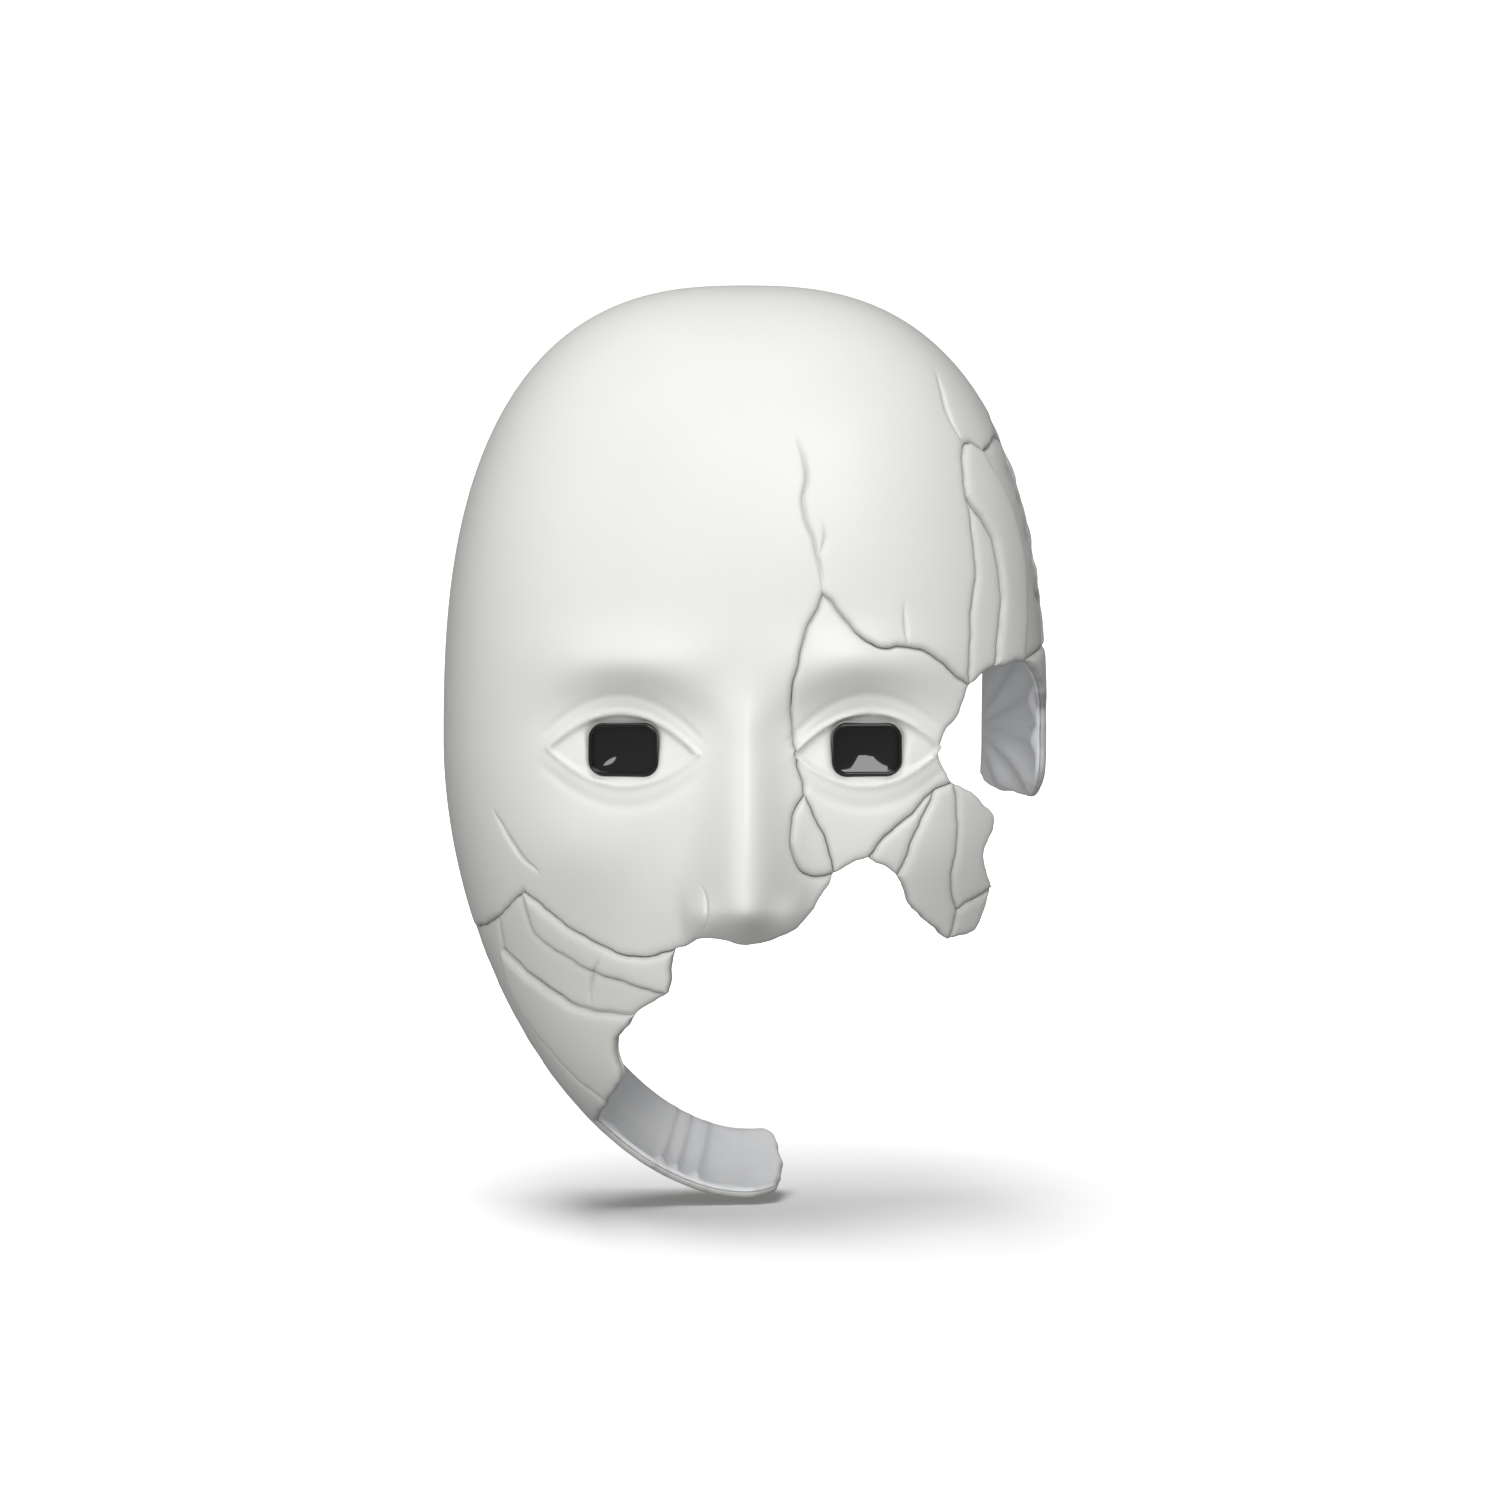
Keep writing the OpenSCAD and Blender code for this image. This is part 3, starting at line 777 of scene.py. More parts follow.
def new_mesh(name: str, verts: Array, faces: Sequence[Sequence[int]]) -> bpy.types.Object:
    """A mesh object at the origin.

    Args:
        name: the piece's name.
        verts: points in millimetres.
        faces: corner indices of each face, facing outwards.

    Returns:
        The new object, linked to the scene.
    """
    mesh = bpy.data.meshes.new(name)
    mesh.from_pydata((np.asarray(verts) * MM).tolist(), [], [list(map(int, f)) for f in faces])
    mesh.update()
    mesh.polygons.foreach_set("use_smooth", [True] * len(mesh.polygons))
    piece = bpy.data.objects.new(name, mesh)
    bpy.context.scene.collection.objects.link(piece)
    return piece


def store(piece: bpy.types.Object, name: str, values: Array) -> None:
    """Keeps one number for each vertex."""
    kept = piece.data.attributes.new(name, "FLOAT", "POINT")
    kept.data.foreach_set("value", np.asarray(values, np.float32))


@dataclass
class Slab:
    """A closed plate cut from the form: part of the map between two depths."""

    cut: CutMap
    faces: Array
    outer: float
    inner: float
    form: MaskForm = FORM
    edge: Point = (2.3, 1.3)
    inner_edge: Point = (0.4, 0.3)
    inset: float = 0.06
    relief_fade: float = 2.0
    # How far the painted shade reaches in from a free edge, in millimetres.
    edge_shade_reach: float = 0.8
    deepest: float = -1.0
    lift: float = 0.0
    tilt: Point = (0.0, 0.0)
    grooves: Sequence[Stroke] = ()
    inner_relief: Callable[[Array], Array] | None = None
    dents: Callable[[Array], Array] | None = None

    def build(self, name: str) -> bpy.types.Object:
        """Makes the plate.

        Args:
            name: the piece's name.

        Returns:
            The piece, which keeps how near each vertex is to an edge or groove as a vertex number that the
            finishes turn into painted shade.
        """
        used, flat_index = np.unique(self.cut.faces[self.faces], return_inverse=True)
        tris = flat_index.reshape(-1, 3)
        flat = self.cut.places[used]
        base = self.form.on_map(flat)
        normal = self.form.slopes(flat)[2]
        corners = flat[tris]
        spin = np.cross(corners[:, 1] - corners[:, 0], corners[:, 2] - corners[:, 0])
        tris[spin < 0] = tris[spin < 0][:, ::-1]
        rim = self.rim_edges(tris)
        on_rim = np.unique(rim)
        tree = kd_tree(base[on_rim])
        away = np.array([tree.find(p)[2] for p in base])
        side = self.inward(base, normal, rim)
        top = base + normal * self.rise(base, away, flat)[:, None] - normal * self.outer
        low_depth = self.inner - rounding(away, *self.inner_edge)
        if self.inner_relief is not None:
            low_depth = low_depth + self.inner_relief(flat) * np.minimum(1, away / self.relief_fade)
        low = PLAIN.on_map(flat) - PLAIN.slopes(flat)[2] * low_depth[:, None]
        top += side * self.inset
        low += side * self.inset
        count = len(base)
        verts = np.vstack([top, low])
        walls = [(a, a + count, b + count, b) for a, b in rim]
        piece = new_mesh(name, verts, [*tris, *(tris[:, ::-1] + count), *walls])
        # Painted shade: the share by which the finish darkens near free edges and along grooves.
        edge_shade = np.exp(-((away / self.edge_shade_reach) ** 2))
        if len(self.grooves):
            edge_shade = np.maximum(edge_shade, self.groove_share(base)[0])
        store(piece, "edge_shade", np.concatenate([edge_shade, edge_shade]))
        return piece

    def rim_edges(self, tris: Array) -> Array:
        """Finds the plate's free edges.

        Args:
            tris: corner indices of the plate's triangles.

        Returns:
            Edges with one triangle, each in its triangle's direction.
        """
        edges = np.concatenate([tris[:, [0, 1]], tris[:, [1, 2]], tris[:, [2, 0]]])
        seen = {(int(a), int(b)) for a, b in edges}
        return np.array([(a, b) for a, b in seen if (b, a) not in seen])

    def inward(self, base: Array, normal: Array, rim: Array) -> Array:
        """Finds the way into the plate from its free edges.

        Args:
            base: points of the plate.
            normal: outward normals of the points.
            rim: the free edges.

        Returns:
            Unit steps into the plate on its free edges, and zero away from them.
        """
        step = np.zeros_like(base)
        for a, b in rim:
            along = base[b] - base[a]
            for i in (a, b):
                step[i] += np.cross(normal[i], along)
        size = np.linalg.norm(step, axis=1, keepdims=True)
        return np.where(size > 1e-9, step / np.maximum(size, 1e-9), 0)

    def groove_share(self, base: Array) -> tuple[Array, Array]:
        """How grooves cut into the plate.

        Args:
            base: points of the plate.

        Returns:
            The closeness to a groove, from 0 to 1, and the groove's depth there.
        """
        depth = []
        for stroke in self.grooves:
            count = len(stroke.samples)
            to_end = np.minimum(np.arange(count) + 3, count - np.arange(count))
            depth.append(stroke.depth * np.clip(to_end / 14, 0, 1))
        tree = kd_tree(np.concatenate([FORM.on_map(stroke.samples) for stroke in self.grooves]))
        hits = [tree.find(p) for p in base]
        gap = np.array([h[2] for h in hits])
        deep = np.concatenate(depth)[[h[1] for h in hits]]
        slot, shoulder = np.exp(-((gap / 0.42) ** 2)), np.exp(-((gap / 1.1) ** 2))
        return np.exp(-((gap / 0.5) ** 2)) * np.minimum(1, deep), deep * (slot + 0.25 * shoulder)

    def rise(self, base: Array, away: Array, flat: Array) -> Array:
        """Height over the form, with rounded edges, dents and grooves.

        Args:
            base: points of the plate on the form.
            away: their distances from the free edges.
            flat: their places on the map.

        Returns:
            The height of each point.
        """
        middle = base.mean(0)
        across, up = base[:, 0] - middle[0], base[:, 2] - middle[2]
        level = self.lift + across * self.tilt[0] + up * self.tilt[1]
        height = np.maximum(level, self.deepest) - rounding(away, *self.edge)
        if self.dents is not None:
            height = height - self.dents(flat)
        if len(self.grooves):
            height = height - self.groove_share(base)[1]
        return height


def rounding(away: Array, radius: float, depth: float) -> Array:
    """How far a rounded edge has fallen, up to a depth, at distances from the edge."""
    return depth * (1 - np.sqrt(1 - np.clip(1 - away / radius, 0, 1) ** 2))


def rounded_rectangle(width: float, height: float, corner: float, steps: int = 8) -> Array:
    """Outline of a rounded rectangle.

    Args:
        width: its whole width.
        height: its whole height.
        corner: radius of its corners.
        steps: points in each corner.

    Returns:
        Points [x, z], anticlockwise as seen from the front.
    """
    points = []
    for i, (sx, sz) in enumerate(((1, 1), (-1, 1), (-1, -1), (1, -1))):
        turn = np.radians(np.linspace(90 * i, 90 * i + 90, steps))
        points.append(np.stack([
            sx * (width / 2 - corner) + corner * np.cos(turn),
            sz * (height / 2 - corner) + corner * np.sin(turn),
        ], axis=1))
    return np.concatenate(points)


def ring_solid(name: str, loops: Sequence[Array]) -> bpy.types.Object:
    """A closed ring through loops of equal length, such as a sleeve or a turned ring.

    Args:
        name: the piece's name.
        loops: the loops in order, of which the last meets the first.

    Returns:
        The piece.
    """
    count, around = len(loops), len(loops[0])
    size = count * around
    faces = [[i % size for i in face] for face in bands(count + 1, around)]
    return closed_right(new_mesh(name, np.concatenate(loops), faces))


def capped_solid(name: str, loops: Sequence[Array]) -> bpy.types.Object:
    """A closed solid through loops of equal length, with its first and last loop capped.

    Args:
        name: the piece's name.
        loops: the loops in order.

    Returns:
        The piece.
    """
    count, around = len(loops), len(loops[0])
    faces = bands(count, around)
    faces += [list(range(around))[::-1], list(range((count - 1) * around, count * around))]
    return closed_right(new_mesh(name, np.concatenate(loops), faces))


def closed_right(piece: bpy.types.Object) -> bpy.types.Object:
    """Turns every face of a closed piece outwards.

    Args:
        piece: the piece.

    Returns:
        The same piece.
    """
    work = bmesh.new()
    work.from_mesh(piece.data)
    bmesh.ops.recalc_face_normals(work, faces=work.faces)
    work.to_mesh(piece.data)
    work.free()
    return piece


def lathe(name: str, profile: Sequence[Point], place: Matrix, around: int = 64) -> bpy.types.Object:
    """A ring turned round its own Z axis.

    Args:
        name: the piece's name.
        profile: its closed section, as points of [radius, height].
        place: its place, in millimetres.
        around: how many points each loop has.

    Returns:
        The piece.
    """
    turn = np.linspace(0, FULL_TURN, around, endpoint=False)
    loops = [
        np.stack([r * np.cos(turn), r * np.sin(turn), np.full(around, h)], axis=1) for r, h in profile
    ]
    return placed(ring_solid(name, loops), place)


def placed(piece: bpy.types.Object, place: Matrix) -> bpy.types.Object:
    """Moves a piece's mesh to its place.

    Args:
        piece: the piece, whose object stays at the origin.
        place: the place, in millimetres.

    Returns:
        The same piece.
    """
    shift = place.copy()
    shift.translation *= MM
    piece.data.transform(shift)
    piece.data.update()
    return piece


# Shader expressions ------------------------------------------------------------


class Val:
    """A shader socket that takes part in Python arithmetic."""

    def __init__(self, tree: "Shader", socket: bpy.types.NodeSocket) -> None:
        """Wraps an output socket of a shader's tree."""
        self.tree, self.socket = tree, socket

    def _math(self, operation: str, *others: "Val | float", first: "Val | float | None" = None) -> "Val":
        """A Math node over this value and others."""
        values = [self if first is None else first, *others]
        return self.tree.node("ShaderNodeMath", {"operation": operation}, dict(enumerate(values)))

    def __add__(self, other: "Val | float") -> "Val":
        """Sum."""
        return self._math("ADD", other)

    __radd__ = __add__

    def __sub__(self, other: "Val | float") -> "Val":
        """Difference."""
        return self._math("SUBTRACT", other)

    def __rsub__(self, other: "Val | float") -> "Val":
        """Difference with this value taken away."""
        return self._math("SUBTRACT", self, first=other)

    def __mul__(self, other: "Val | float") -> "Val":
        """Product."""
        return self._math("MULTIPLY", other)

    __rmul__ = __mul__

    def clamp(self) -> "Val":
        """This value held between 0 and 1."""
        return self.tree.node("ShaderNodeClamp", {}, {0: self})

    def step(self, start: float, end: float) -> "Val":
        """Smooth step from 0 at start to 1 at end."""
        sockets = {0: self, 1: start, 2: end}
        return self.tree.node("ShaderNodeMapRange", {"interpolation_type": "SMOOTHSTEP"}, sockets)


class Shader:
    """A material whose tree is written with expressions."""

    def __init__(self, name: str) -> None:
        """Starts an empty material with one Principled shader.

        Args:
            name: the material's name.
        """
        self.material = bpy.data.materials.new(name)
        self.material.use_nodes = True
        self.nodes = self.material.node_tree.nodes
        self.links = self.material.node_tree.links
        self.surface = self.nodes["Principled BSDF"]

    def node(
        self, kind: str, settings: dict[str, object], values: dict[int | str, object], out: int | str = 0
    ) -> Val:
        """Any node.

        Args:
            kind: the node's type.
            settings: its own settings, which are set first.
            values: values or links of its sockets.
            out: which of its outputs is wanted.

        Returns:
            The output.
        """
        made = self.nodes.new(kind)
        for key, setting in settings.items():
            setattr(made, key, setting)
        for key, value in values.items():
            if isinstance(value, Val):
                self.links.new(value.socket, made.inputs[key])
            else:
                made.inputs[key].default_value = value
        return Val(self, made.outputs[out])

    def place(self) -> Val:
        """The piece's own coordinates in metres."""
        return self.node("ShaderNodeTexCoord", {}, {}, "Object")

    def noise(self, scale: float, detail: float = 3.0, stretch: Triple = (1, 1, 1)) -> Val:
        """Smooth noise around 0.5, on the piece's own coordinates."""
        at = self.node("ShaderNodeMapping", {}, {"Vector": self.place(), "Scale": stretch})
        return self.node("ShaderNodeTexNoise", {}, {"Vector": at, "Scale": scale, "Detail": detail})

    def attribute(self, name: str) -> Val:
        """A number kept on the piece's vertices."""
        return self.node("ShaderNodeAttribute", {"attribute_name": name}, {}, "Fac")

    def mix(self, share: Val, a: Val | Triple, b: Triple) -> Val:
        """A colour between two.

        Args:
            share: how much of the second colour shows.
            a: the first colour, or a socket that gives it.
            b: the second colour.

        Returns:
            The mixed colour.
        """
        first = a if isinstance(a, Val) else (*a, 1.0)
        return self.node("ShaderNodeMix", {"data_type": "RGBA"}, {0: share, 6: first, 7: (*b, 1.0)}, 2)

    def set(self, **sockets: object) -> None:
        """Sets or links the Principled shader's sockets.

        Args:
            sockets: values or links, by the sockets' names with _ for a space.
        """
        for key, value in sockets.items():
            socket = self.surface.inputs[key.replace("_", " ")]
            if isinstance(value, Val):
                self.links.new(value.socket, socket)
            else:
                socket.default_value = value

    def bump(self, height: Val, distance: float, strength: float = 1.0) -> Val:
        """A surface normal raised by a height."""
        return self.node("ShaderNodeBump", {}, {"Height": height, "Distance": distance, "Strength": strength})


@dataclass(frozen=True)
class WhiteGlaze:
    """Satin white glaze: faint mottling, wavering gloss, and painted shade along its edges and cracks."""

    white: Triple = (0.845, 0.85, 0.815)
    warm: Triple = (0.82, 0.82, 0.78)
    # Grey of the painted shade along edges and cracks.
    crack: Triple = (0.50, 0.50, 0.48)
    gloss: float = 0.33

    def material(self) -> bpy.types.Material:
        """Builds the finish.

        Returns:
            The material.
        """
        s = Shader("white_glaze")
        mottle = s.noise(38.0, 4.0).step(0.35, 0.75)
        cloud = s.noise(11.0, 2.0)
        # Painted shade: near free edges and along grooves the colour darkens towards the crack grey.
        edge_shade = s.attribute("edge_shade").clamp()
        body = s.mix(mottle * 0.5, self.white, self.warm)
        colour = s.mix(edge_shade * (0.45 + 0.35 * s.noise(160.0)), body, self.crack)
        pores = s.noise(900.0, 2.0).step(0.68, 0.8)
        skin = s.noise(55.0, 3.0) * 0.5 + s.noise(210.0, 2.0) * 0.12 - pores * 0.06
        s.set(
            Base_Color=colour,
            Roughness=self.gloss + cloud * 0.08 + edge_shade * 0.12,
            Coat_Weight=0.12,
            Coat_Roughness=0.2,
            IOR=1.5,
            Normal=s.bump(skin, 0.0004, 0.22),
        )
        return s.material


@dataclass(frozen=True)
class WhiteBacking:
    """Brushed-on white resin: cooler and duller than the glaze, with a faint weave and painted shade along
    its free edges.
    """

    white: Triple = (0.93, 0.935, 0.94)
    # Colour of the brush streaks, and of the painted shade near the free edges.
    shade: Triple = (0.80, 0.82, 0.85)

    def material(self) -> bpy.types.Material:
        """Builds the finish.

        Returns:
            The material.
        """
        s = Shader("white_backing")
        brush = s.noise(60.0, 5.0, (1.0, 1.0, 0.25))
        weave = s.node("ShaderNodeTexVoronoi", {"feature": "F1"}, {"Vector": s.place(), "Scale": 700.0})
        # Painted shade: besides the brush streaks, the colour darkens near the free edges.
        edge_shade = s.attribute("edge_shade").clamp()
        s.set(
            Base_Color=s.mix((brush.step(0.3, 0.8) * 0.5 + edge_shade * 0.4).clamp(), self.white, self.shade),
            Roughness=0.42 + brush * 0.16,
            Coat_Weight=0.1,
            Normal=s.bump(brush + weave * 0.12, 0.0006, 0.35),
        )
        return s.material


@dataclass(frozen=True)
class BlackGloss:
    """Deep black lacquer, or the smoked plastic of a lens."""

    name: str
    black: Triple = (0.006, 0.006, 0.006)
    gloss: float = 0.1

    def material(self) -> bpy.types.Material:
        """Builds the finish.

        Returns:
            The material.
        """
        s = Shader(self.name)
        smear = s.noise(90.0, 3.0)
        s.set(
            Base_Color=s.mix(smear * 0.4, self.black, tuple(2.2 * c for c in self.black)),
            Roughness=self.gloss + smear * 0.07,
            Coat_Weight=1.0,
            Coat_Roughness=0.03,
        )
        return s.material


@dataclass(frozen=True)
class PadCloth:
    """Fine felted cloth over foam."""

    dark: Triple = (0.045, 0.047, 0.052)
    light: Triple = (0.11, 0.112, 0.12)

    def material(self) -> bpy.types.Material:
        """Builds the finish.

        Returns:
            The material.
        """
        s = Shader("foam_pad")
        fibre = s.noise(1400.0, 4.0)
        patch = s.noise(120.0, 3.0)
        s.set(
            Base_Color=s.mix((fibre * 0.7 + patch * 0.4).step(0.35, 0.8), self.dark, self.light),
            Roughness=0.88 + fibre * 0.1,
            Sheen_Weight=0.35,
            Sheen_Roughness=0.5,
            Normal=s.bump(fibre + patch * 0.4, 0.0004, 0.5),
        )
        return s.material


@dataclass(frozen=True)
class Thread:
    """Waxed sewing thread."""

    def material(self) -> bpy.types.Material:
        """Builds the finish.

        Returns:
            The material.
        """
        s = Shader("stitch_thread")
        ply = s.noise(2600.0, 1.0)
        s.set(
            Base_Color=s.mix(ply, (0.50, 0.50, 0.51), (0.64, 0.64, 0.65)),
            Roughness=0.6,
            Normal=s.bump(ply, 0.0001, 0.6),
        )
        return s.material


@dataclass(frozen=True)
class Steel:
    """Nickel-plated steel, brushed or polished."""

    name: str
    gloss: float = 0.28
    stretch: Triple = (1.0, 1.0, 12.0)

    def material(self) -> bpy.types.Material:
        """Builds the finish.

        Returns:
            The material.
        """
        s = Shader(self.name)
        grain = s.noise(900.0, 3.0, self.stretch)
        haze = s.noise(140.0, 3.0)
        s.set(
            Base_Color=s.mix(haze, (0.60, 0.60, 0.61), (0.70, 0.70, 0.71)),
            Metallic=1.0,
            Roughness=self.gloss + 0.14 * grain + 0.05 * haze,
            Normal=s.bump(grain, 0.00008, 0.4),
        )
        return s.material


# Sub-assemblies ----------------------------------------------------------------


def report(piece: bpy.types.Object) -> None:
    """Logs a finished piece."""
    LOG.info("%s: %d faces", piece.name, len(piece.data.polygons))


def finish_piece(
    piece: bpy.types.Object,
    material: bpy.types.Material,
    body: str = "mask",
    nodes: Sequence[str] = (),
) -> bpy.types.Object:
    """Dresses a piece and puts it on its body.

    Args:
        piece: the piece, in place.
        material: its finish.
        body: the CAD body that it moves with.
        nodes: the CAD nodes that it stands for.

    Returns:
        The piece.
    """
    piece.data.materials.clear()
    piece.data.materials.append(material)
    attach(piece, body)
    if nodes:
        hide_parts(*nodes)
    report(piece)
    return piece


@dataclass(frozen=True)
class EyeFrame:
    """The axes of an eye window: its origin on the surface and +Y into the mask."""

    side: int
    middle: float = 33.0
    reach: float = 7.0
    window: Point = (17.0, 12.0)
    corner: float = 3.0
    liner: float = 1.0
    fit: float = 0.12

    @staticmethod
    def plain_point(x: float) -> Array:
        """Point of the CAD surface, which has no lids, at eye height."""
        plain = FORM.on_map(FORM.seen([(x, 0.0)]))[0]
        return plain + [0, float(FORM.eyes(np.array([x]), np.array([0.0]))[0]), 0]

    @cached_property
    def origin(self) -> Array:
        """The window's middle on the surface, on the right-hand side."""
        return self.plain_point(self.middle)

    @cached_property
    def turn(self) -> float:
        """The window's turn about Z, in radians, that follows the face."""
        step = self.plain_point(self.middle + self.reach) - self.plain_point(self.middle - self.reach)
        return math.atan2(step[1], step[0])

    def place(self, loop: Array, depth: Array | float) -> Array:
        """Puts a loop at the window.

        Args:
            loop: points [x, z] from the window's middle.
            depth: how far into the mask they are.

        Returns:
            The points in millimetres.
        """
        c, s = math.cos(self.turn), math.sin(self.turn)
        into = np.broadcast_to(np.asarray(depth, float), len(loop))
        x = self.origin[0] + loop[:, 0] * c - into * s
        return np.stack([self.side * x, self.origin[1] + loop[:, 0] * s + into * c, loop[:, 1]], axis=1)

    def outline(self, margin: float, steps: int = 8) -> Array:
        """The window's outline, grown by a margin."""
        width, height = (size + 2 * margin for size in self.window)
        return rounded_rectangle(width, height, self.corner + margin, steps)

    def hole(self) -> Array:
        """Finds the hole that the window needs.

        Returns:
            The hole's edge on the map.
        """
        points = self.place(self.outline(self.liner + self.fit), 0.0)
        path = FORM.seen([(p[0], p[2]) for p in points])
        return path if self.side > 0 else path[::-1]


@dataclass
class EyeFitting:
    """The black liner and the domed smoked lens of one window."""

    eye: EyeFrame
    liner_finish: bpy.types.Material
    lens_finish: bpy.types.Material
    front: float = 0.75
    flange_at: float = 5.28
    flange: float = 2.2
    flange_t: float = 1.0
    lip: float = 0.14
    soft: float = 0.2
    lens_t: float = 1.2
    lens_inset: float = 0.5
    lens_gap: float = 0.05
    dish: float = 2.3

    def __post_init__(self) -> None:
        """Names the window's side."""
        self.side = "right" if self.eye.side > 0 else "left"

    def build(self) -> None:
        """Makes both pieces."""
        e, start, at = self.eye, self.front, self.flange_at
        back, w, wide = at + self.flange_t, e.liner, e.liner + self.flange
        profile = [
            (0.0, start + 0.5), (self.lip, start + 0.15), (w / 2, start), (w - self.lip, start + 0.15),
            (w, start + 0.5), (w, at - 0.25), (w + 0.25, at), (wide - self.soft, at),
            (wide, at + self.soft), (wide, back - self.soft), (wide - self.soft, back),
            (self.soft, back), (0.0, back - self.soft),
        ]
        loops = [e.place(e.outline(margin), depth) for margin, depth in profile]
        liner = ring_solid(f"eye_liner_{self.side}_finished", loops)
        finish_piece(liner, self.liner_finish, nodes=[f"eye_liner_{self.side}"])
        self.build_lens(back + self.lens_gap)

    def build_lens(self, start: float) -> None:
        """Makes the lens, an even plate dished away from the window.

        Args:
            start: depth of its front face.
        """
        e, back = self.eye, start + self.lens_t
        edge = e.outline(e.liner + self.flange - self.lens_inset, 12)
        rings = [edge * share for share in np.linspace(0.86, 0.04, 14)]
        bevel = edge * 0.985
        loops = [e.place(ring, back + self.sink(ring)) for ring in rings[::-1]]
        loops += [e.place(bevel, back), e.place(edge, back - self.soft), e.place(edge, start + 0.15)]
        loops += [e.place(bevel, start)] + [e.place(ring, start + self.sink(ring)) for ring in rings]
        lens = capped_solid(f"eye_lens_{self.side}_finished", loops)
        finish_piece(lens, self.lens_finish, nodes=[f"eye_lens_{self.side}"])

    def sink(self, loop: Array) -> Array:
        """Depth of the lens's dish.

        Args:
            loop: points [x, z] from the window's middle.

        Returns:
            The depth at each point.
        """
        half = np.array(self.eye.window) / 2 + 0.6
        share = np.clip(1 - (loop / half) ** 2, 0, 1)
        return self.dish * (share[:, 0] * share[:, 1]) ** 1.2


@dataclass(frozen=True)
class ShardSpec:
    """A shard: its CAD node, a place inside it, how far it stands proud and how it leans."""

    node: str
    seed: Array
    lift: float = 0.0
    tilt: Point = (0.0, 0.0)


@dataclass
class MaskShell:
    """The glazed shards and the backing that carries them."""

    glaze: bpy.types.Material
    backing: bpy.types.Material
    eyes: Sequence[EyeFrame]
    glaze_t: float = 1.8
    bond: float = 0.08
    backing_t: float = 1.2
    eyelet_row: float = 115.0
    eyelet_hole: float = 3.25
    shard_pitch: float = 1.45
    backing_pitch: float = 2.0
    chip_depth: float = 0.95
    band_row: float = 115.0
    flap_folds: tuple[Triple, ...] = (
        (-52, 7, 1.5), (-27, 6, 1.7), (-6, 5, 1.3), (11, 6, 1.9), (36, 8, 1.5), (60, 7, 1.2),
    )
    band_folds: tuple[Triple, ...] = (
        (251.0, 1.3, 0.7), (258.3, 0.55, 1.5), (260.6, 0.5, 1.6), (263.4, 0.7, 1.7), (268.5, 1.6, 0.6),
    )

    def shards(self) -> list[ShardSpec]:
        """Lists the shards.

        Returns:
            Every shard of the mask.
        """

        def seen(x: float, z: float) -> Array:
            """Map place of a point seen from the front."""
            return FORM.seen([(x, z)])[0]

        return [
            ShardSpec("face_shell", seen(-30, 60)),
            ShardSpec("brow_shard", seen(33, -17), -0.15, (0.0, -0.026)),
            ShardSpec("nose_chip", seen(17, -25), 0.55),
            ShardSpec("temple_shard_front", seen(65, 35), -0.3, (0.02, 0.0)),
            ShardSpec("temple_shard_middle", seen(73, 42), 0.5, (0.03, 0.004)),
            ShardSpec("temple_shard_rear", seen(78.7, 44), -0.8),
            ShardSpec("side_wall_shard", polar(3.0, 115.0)),
            ShardSpec("cheekbone_shard", seen(42, -24), 0.2),
            ShardSpec("cheek_shard_inner", seen(50, -35), 0.8, (-0.012, 0.0)),
            ShardSpec("cheek_shard_outer", seen(61, -30), 0.35, (0.015, 0.0)),
            ShardSpec("cheek_chip", seen(61, -46), 0.1),
            ShardSpec("jaw_shard_upper", seen(-40, -57.5), 0.9, (0.01, 0.03)),
            ShardSpec("jaw_shard_middle", seen(-48, -63), -0.4, (0.0, 0.05)),
            ShardSpec("jaw_shard_lower", seen(-45, -80), 0.8, (0.0, 0.035)),
            ShardSpec("jaw_edge_strip", seen(-59.5, -78), -0.4),
            ShardSpec("chin_band", polar(255.0, 115.0)),
        ]

    def eyelet_ring(self) -> Array:
        """Finds the hole that the crown eyelet needs.

        Returns:
            The hole's edge on the map.
        """
        at = polar(90.0, self.eyelet_row)
        du, dv, _ = FORM.slopes(at[None])
        turn = np.linspace(0, FULL_TURN, 28, endpoint=False)
        return at + self.eyelet_hole * np.stack(
            [np.cos(turn) / np.linalg.norm(du), np.sin(turn) / np.linalg.norm(dv)], axis=1
        )

    def chips(self, flat: Array) -> Array:
        """Depth of the chips knocked out of the glaze along the right temple's outline.

        Args:
            flat: places on the map.

        Returns:
            The depth at each place.
        """
        angle, row = angle_row(flat)
        place = np.exp(-(((row - 89) / 8) ** 2)) * ramp(angle, 23, 27) * (1 - ramp(angle, 50, 57))
        scoops = np.abs(np.sin(0.38 * angle + 0.1 * row)) ** 0.8 + 0.35 * np.sin(1.3 * angle - 0.21 * row)
        return self.chip_depth * place * np.clip(1.15 - scoops, 0, 1)

    def inner_folds(self, flat: Array) -> Array:
        """Thickness of the resin folds inside the flap and the chin band.

        The flap's folds fan out from its back edge, and the band's run across it. Each fold has a
        direction, a width and a height.

        Args:
            flat: places on the map.

        Returns:
            The thickness at each place.
        """
        angle, row = angle_row(flat)
        rise, reach = ((angle - 3 + 180) % 360 - 180) * 1.45, (152 - row) * 0.65
        fan = np.degrees(np.arctan2(rise, reach))
        fade = ramp(reach, 2, 14) * ramp(-np.abs(rise), -23, -15)
        slant = angle % 360 - 0.02 * (row - self.band_row)
        folds = np.zeros(len(flat))
        for at, width, high in self.flap_folds:
            folds += high * np.exp(-(((fan - at) / width) ** 2)) * fade
        for at, width, high in self.band_folds:
            folds += high * np.exp(-(((slant - at) / width) ** 2))
        return folds * ramp(row, OUTLINE_ROW - 1, 95)

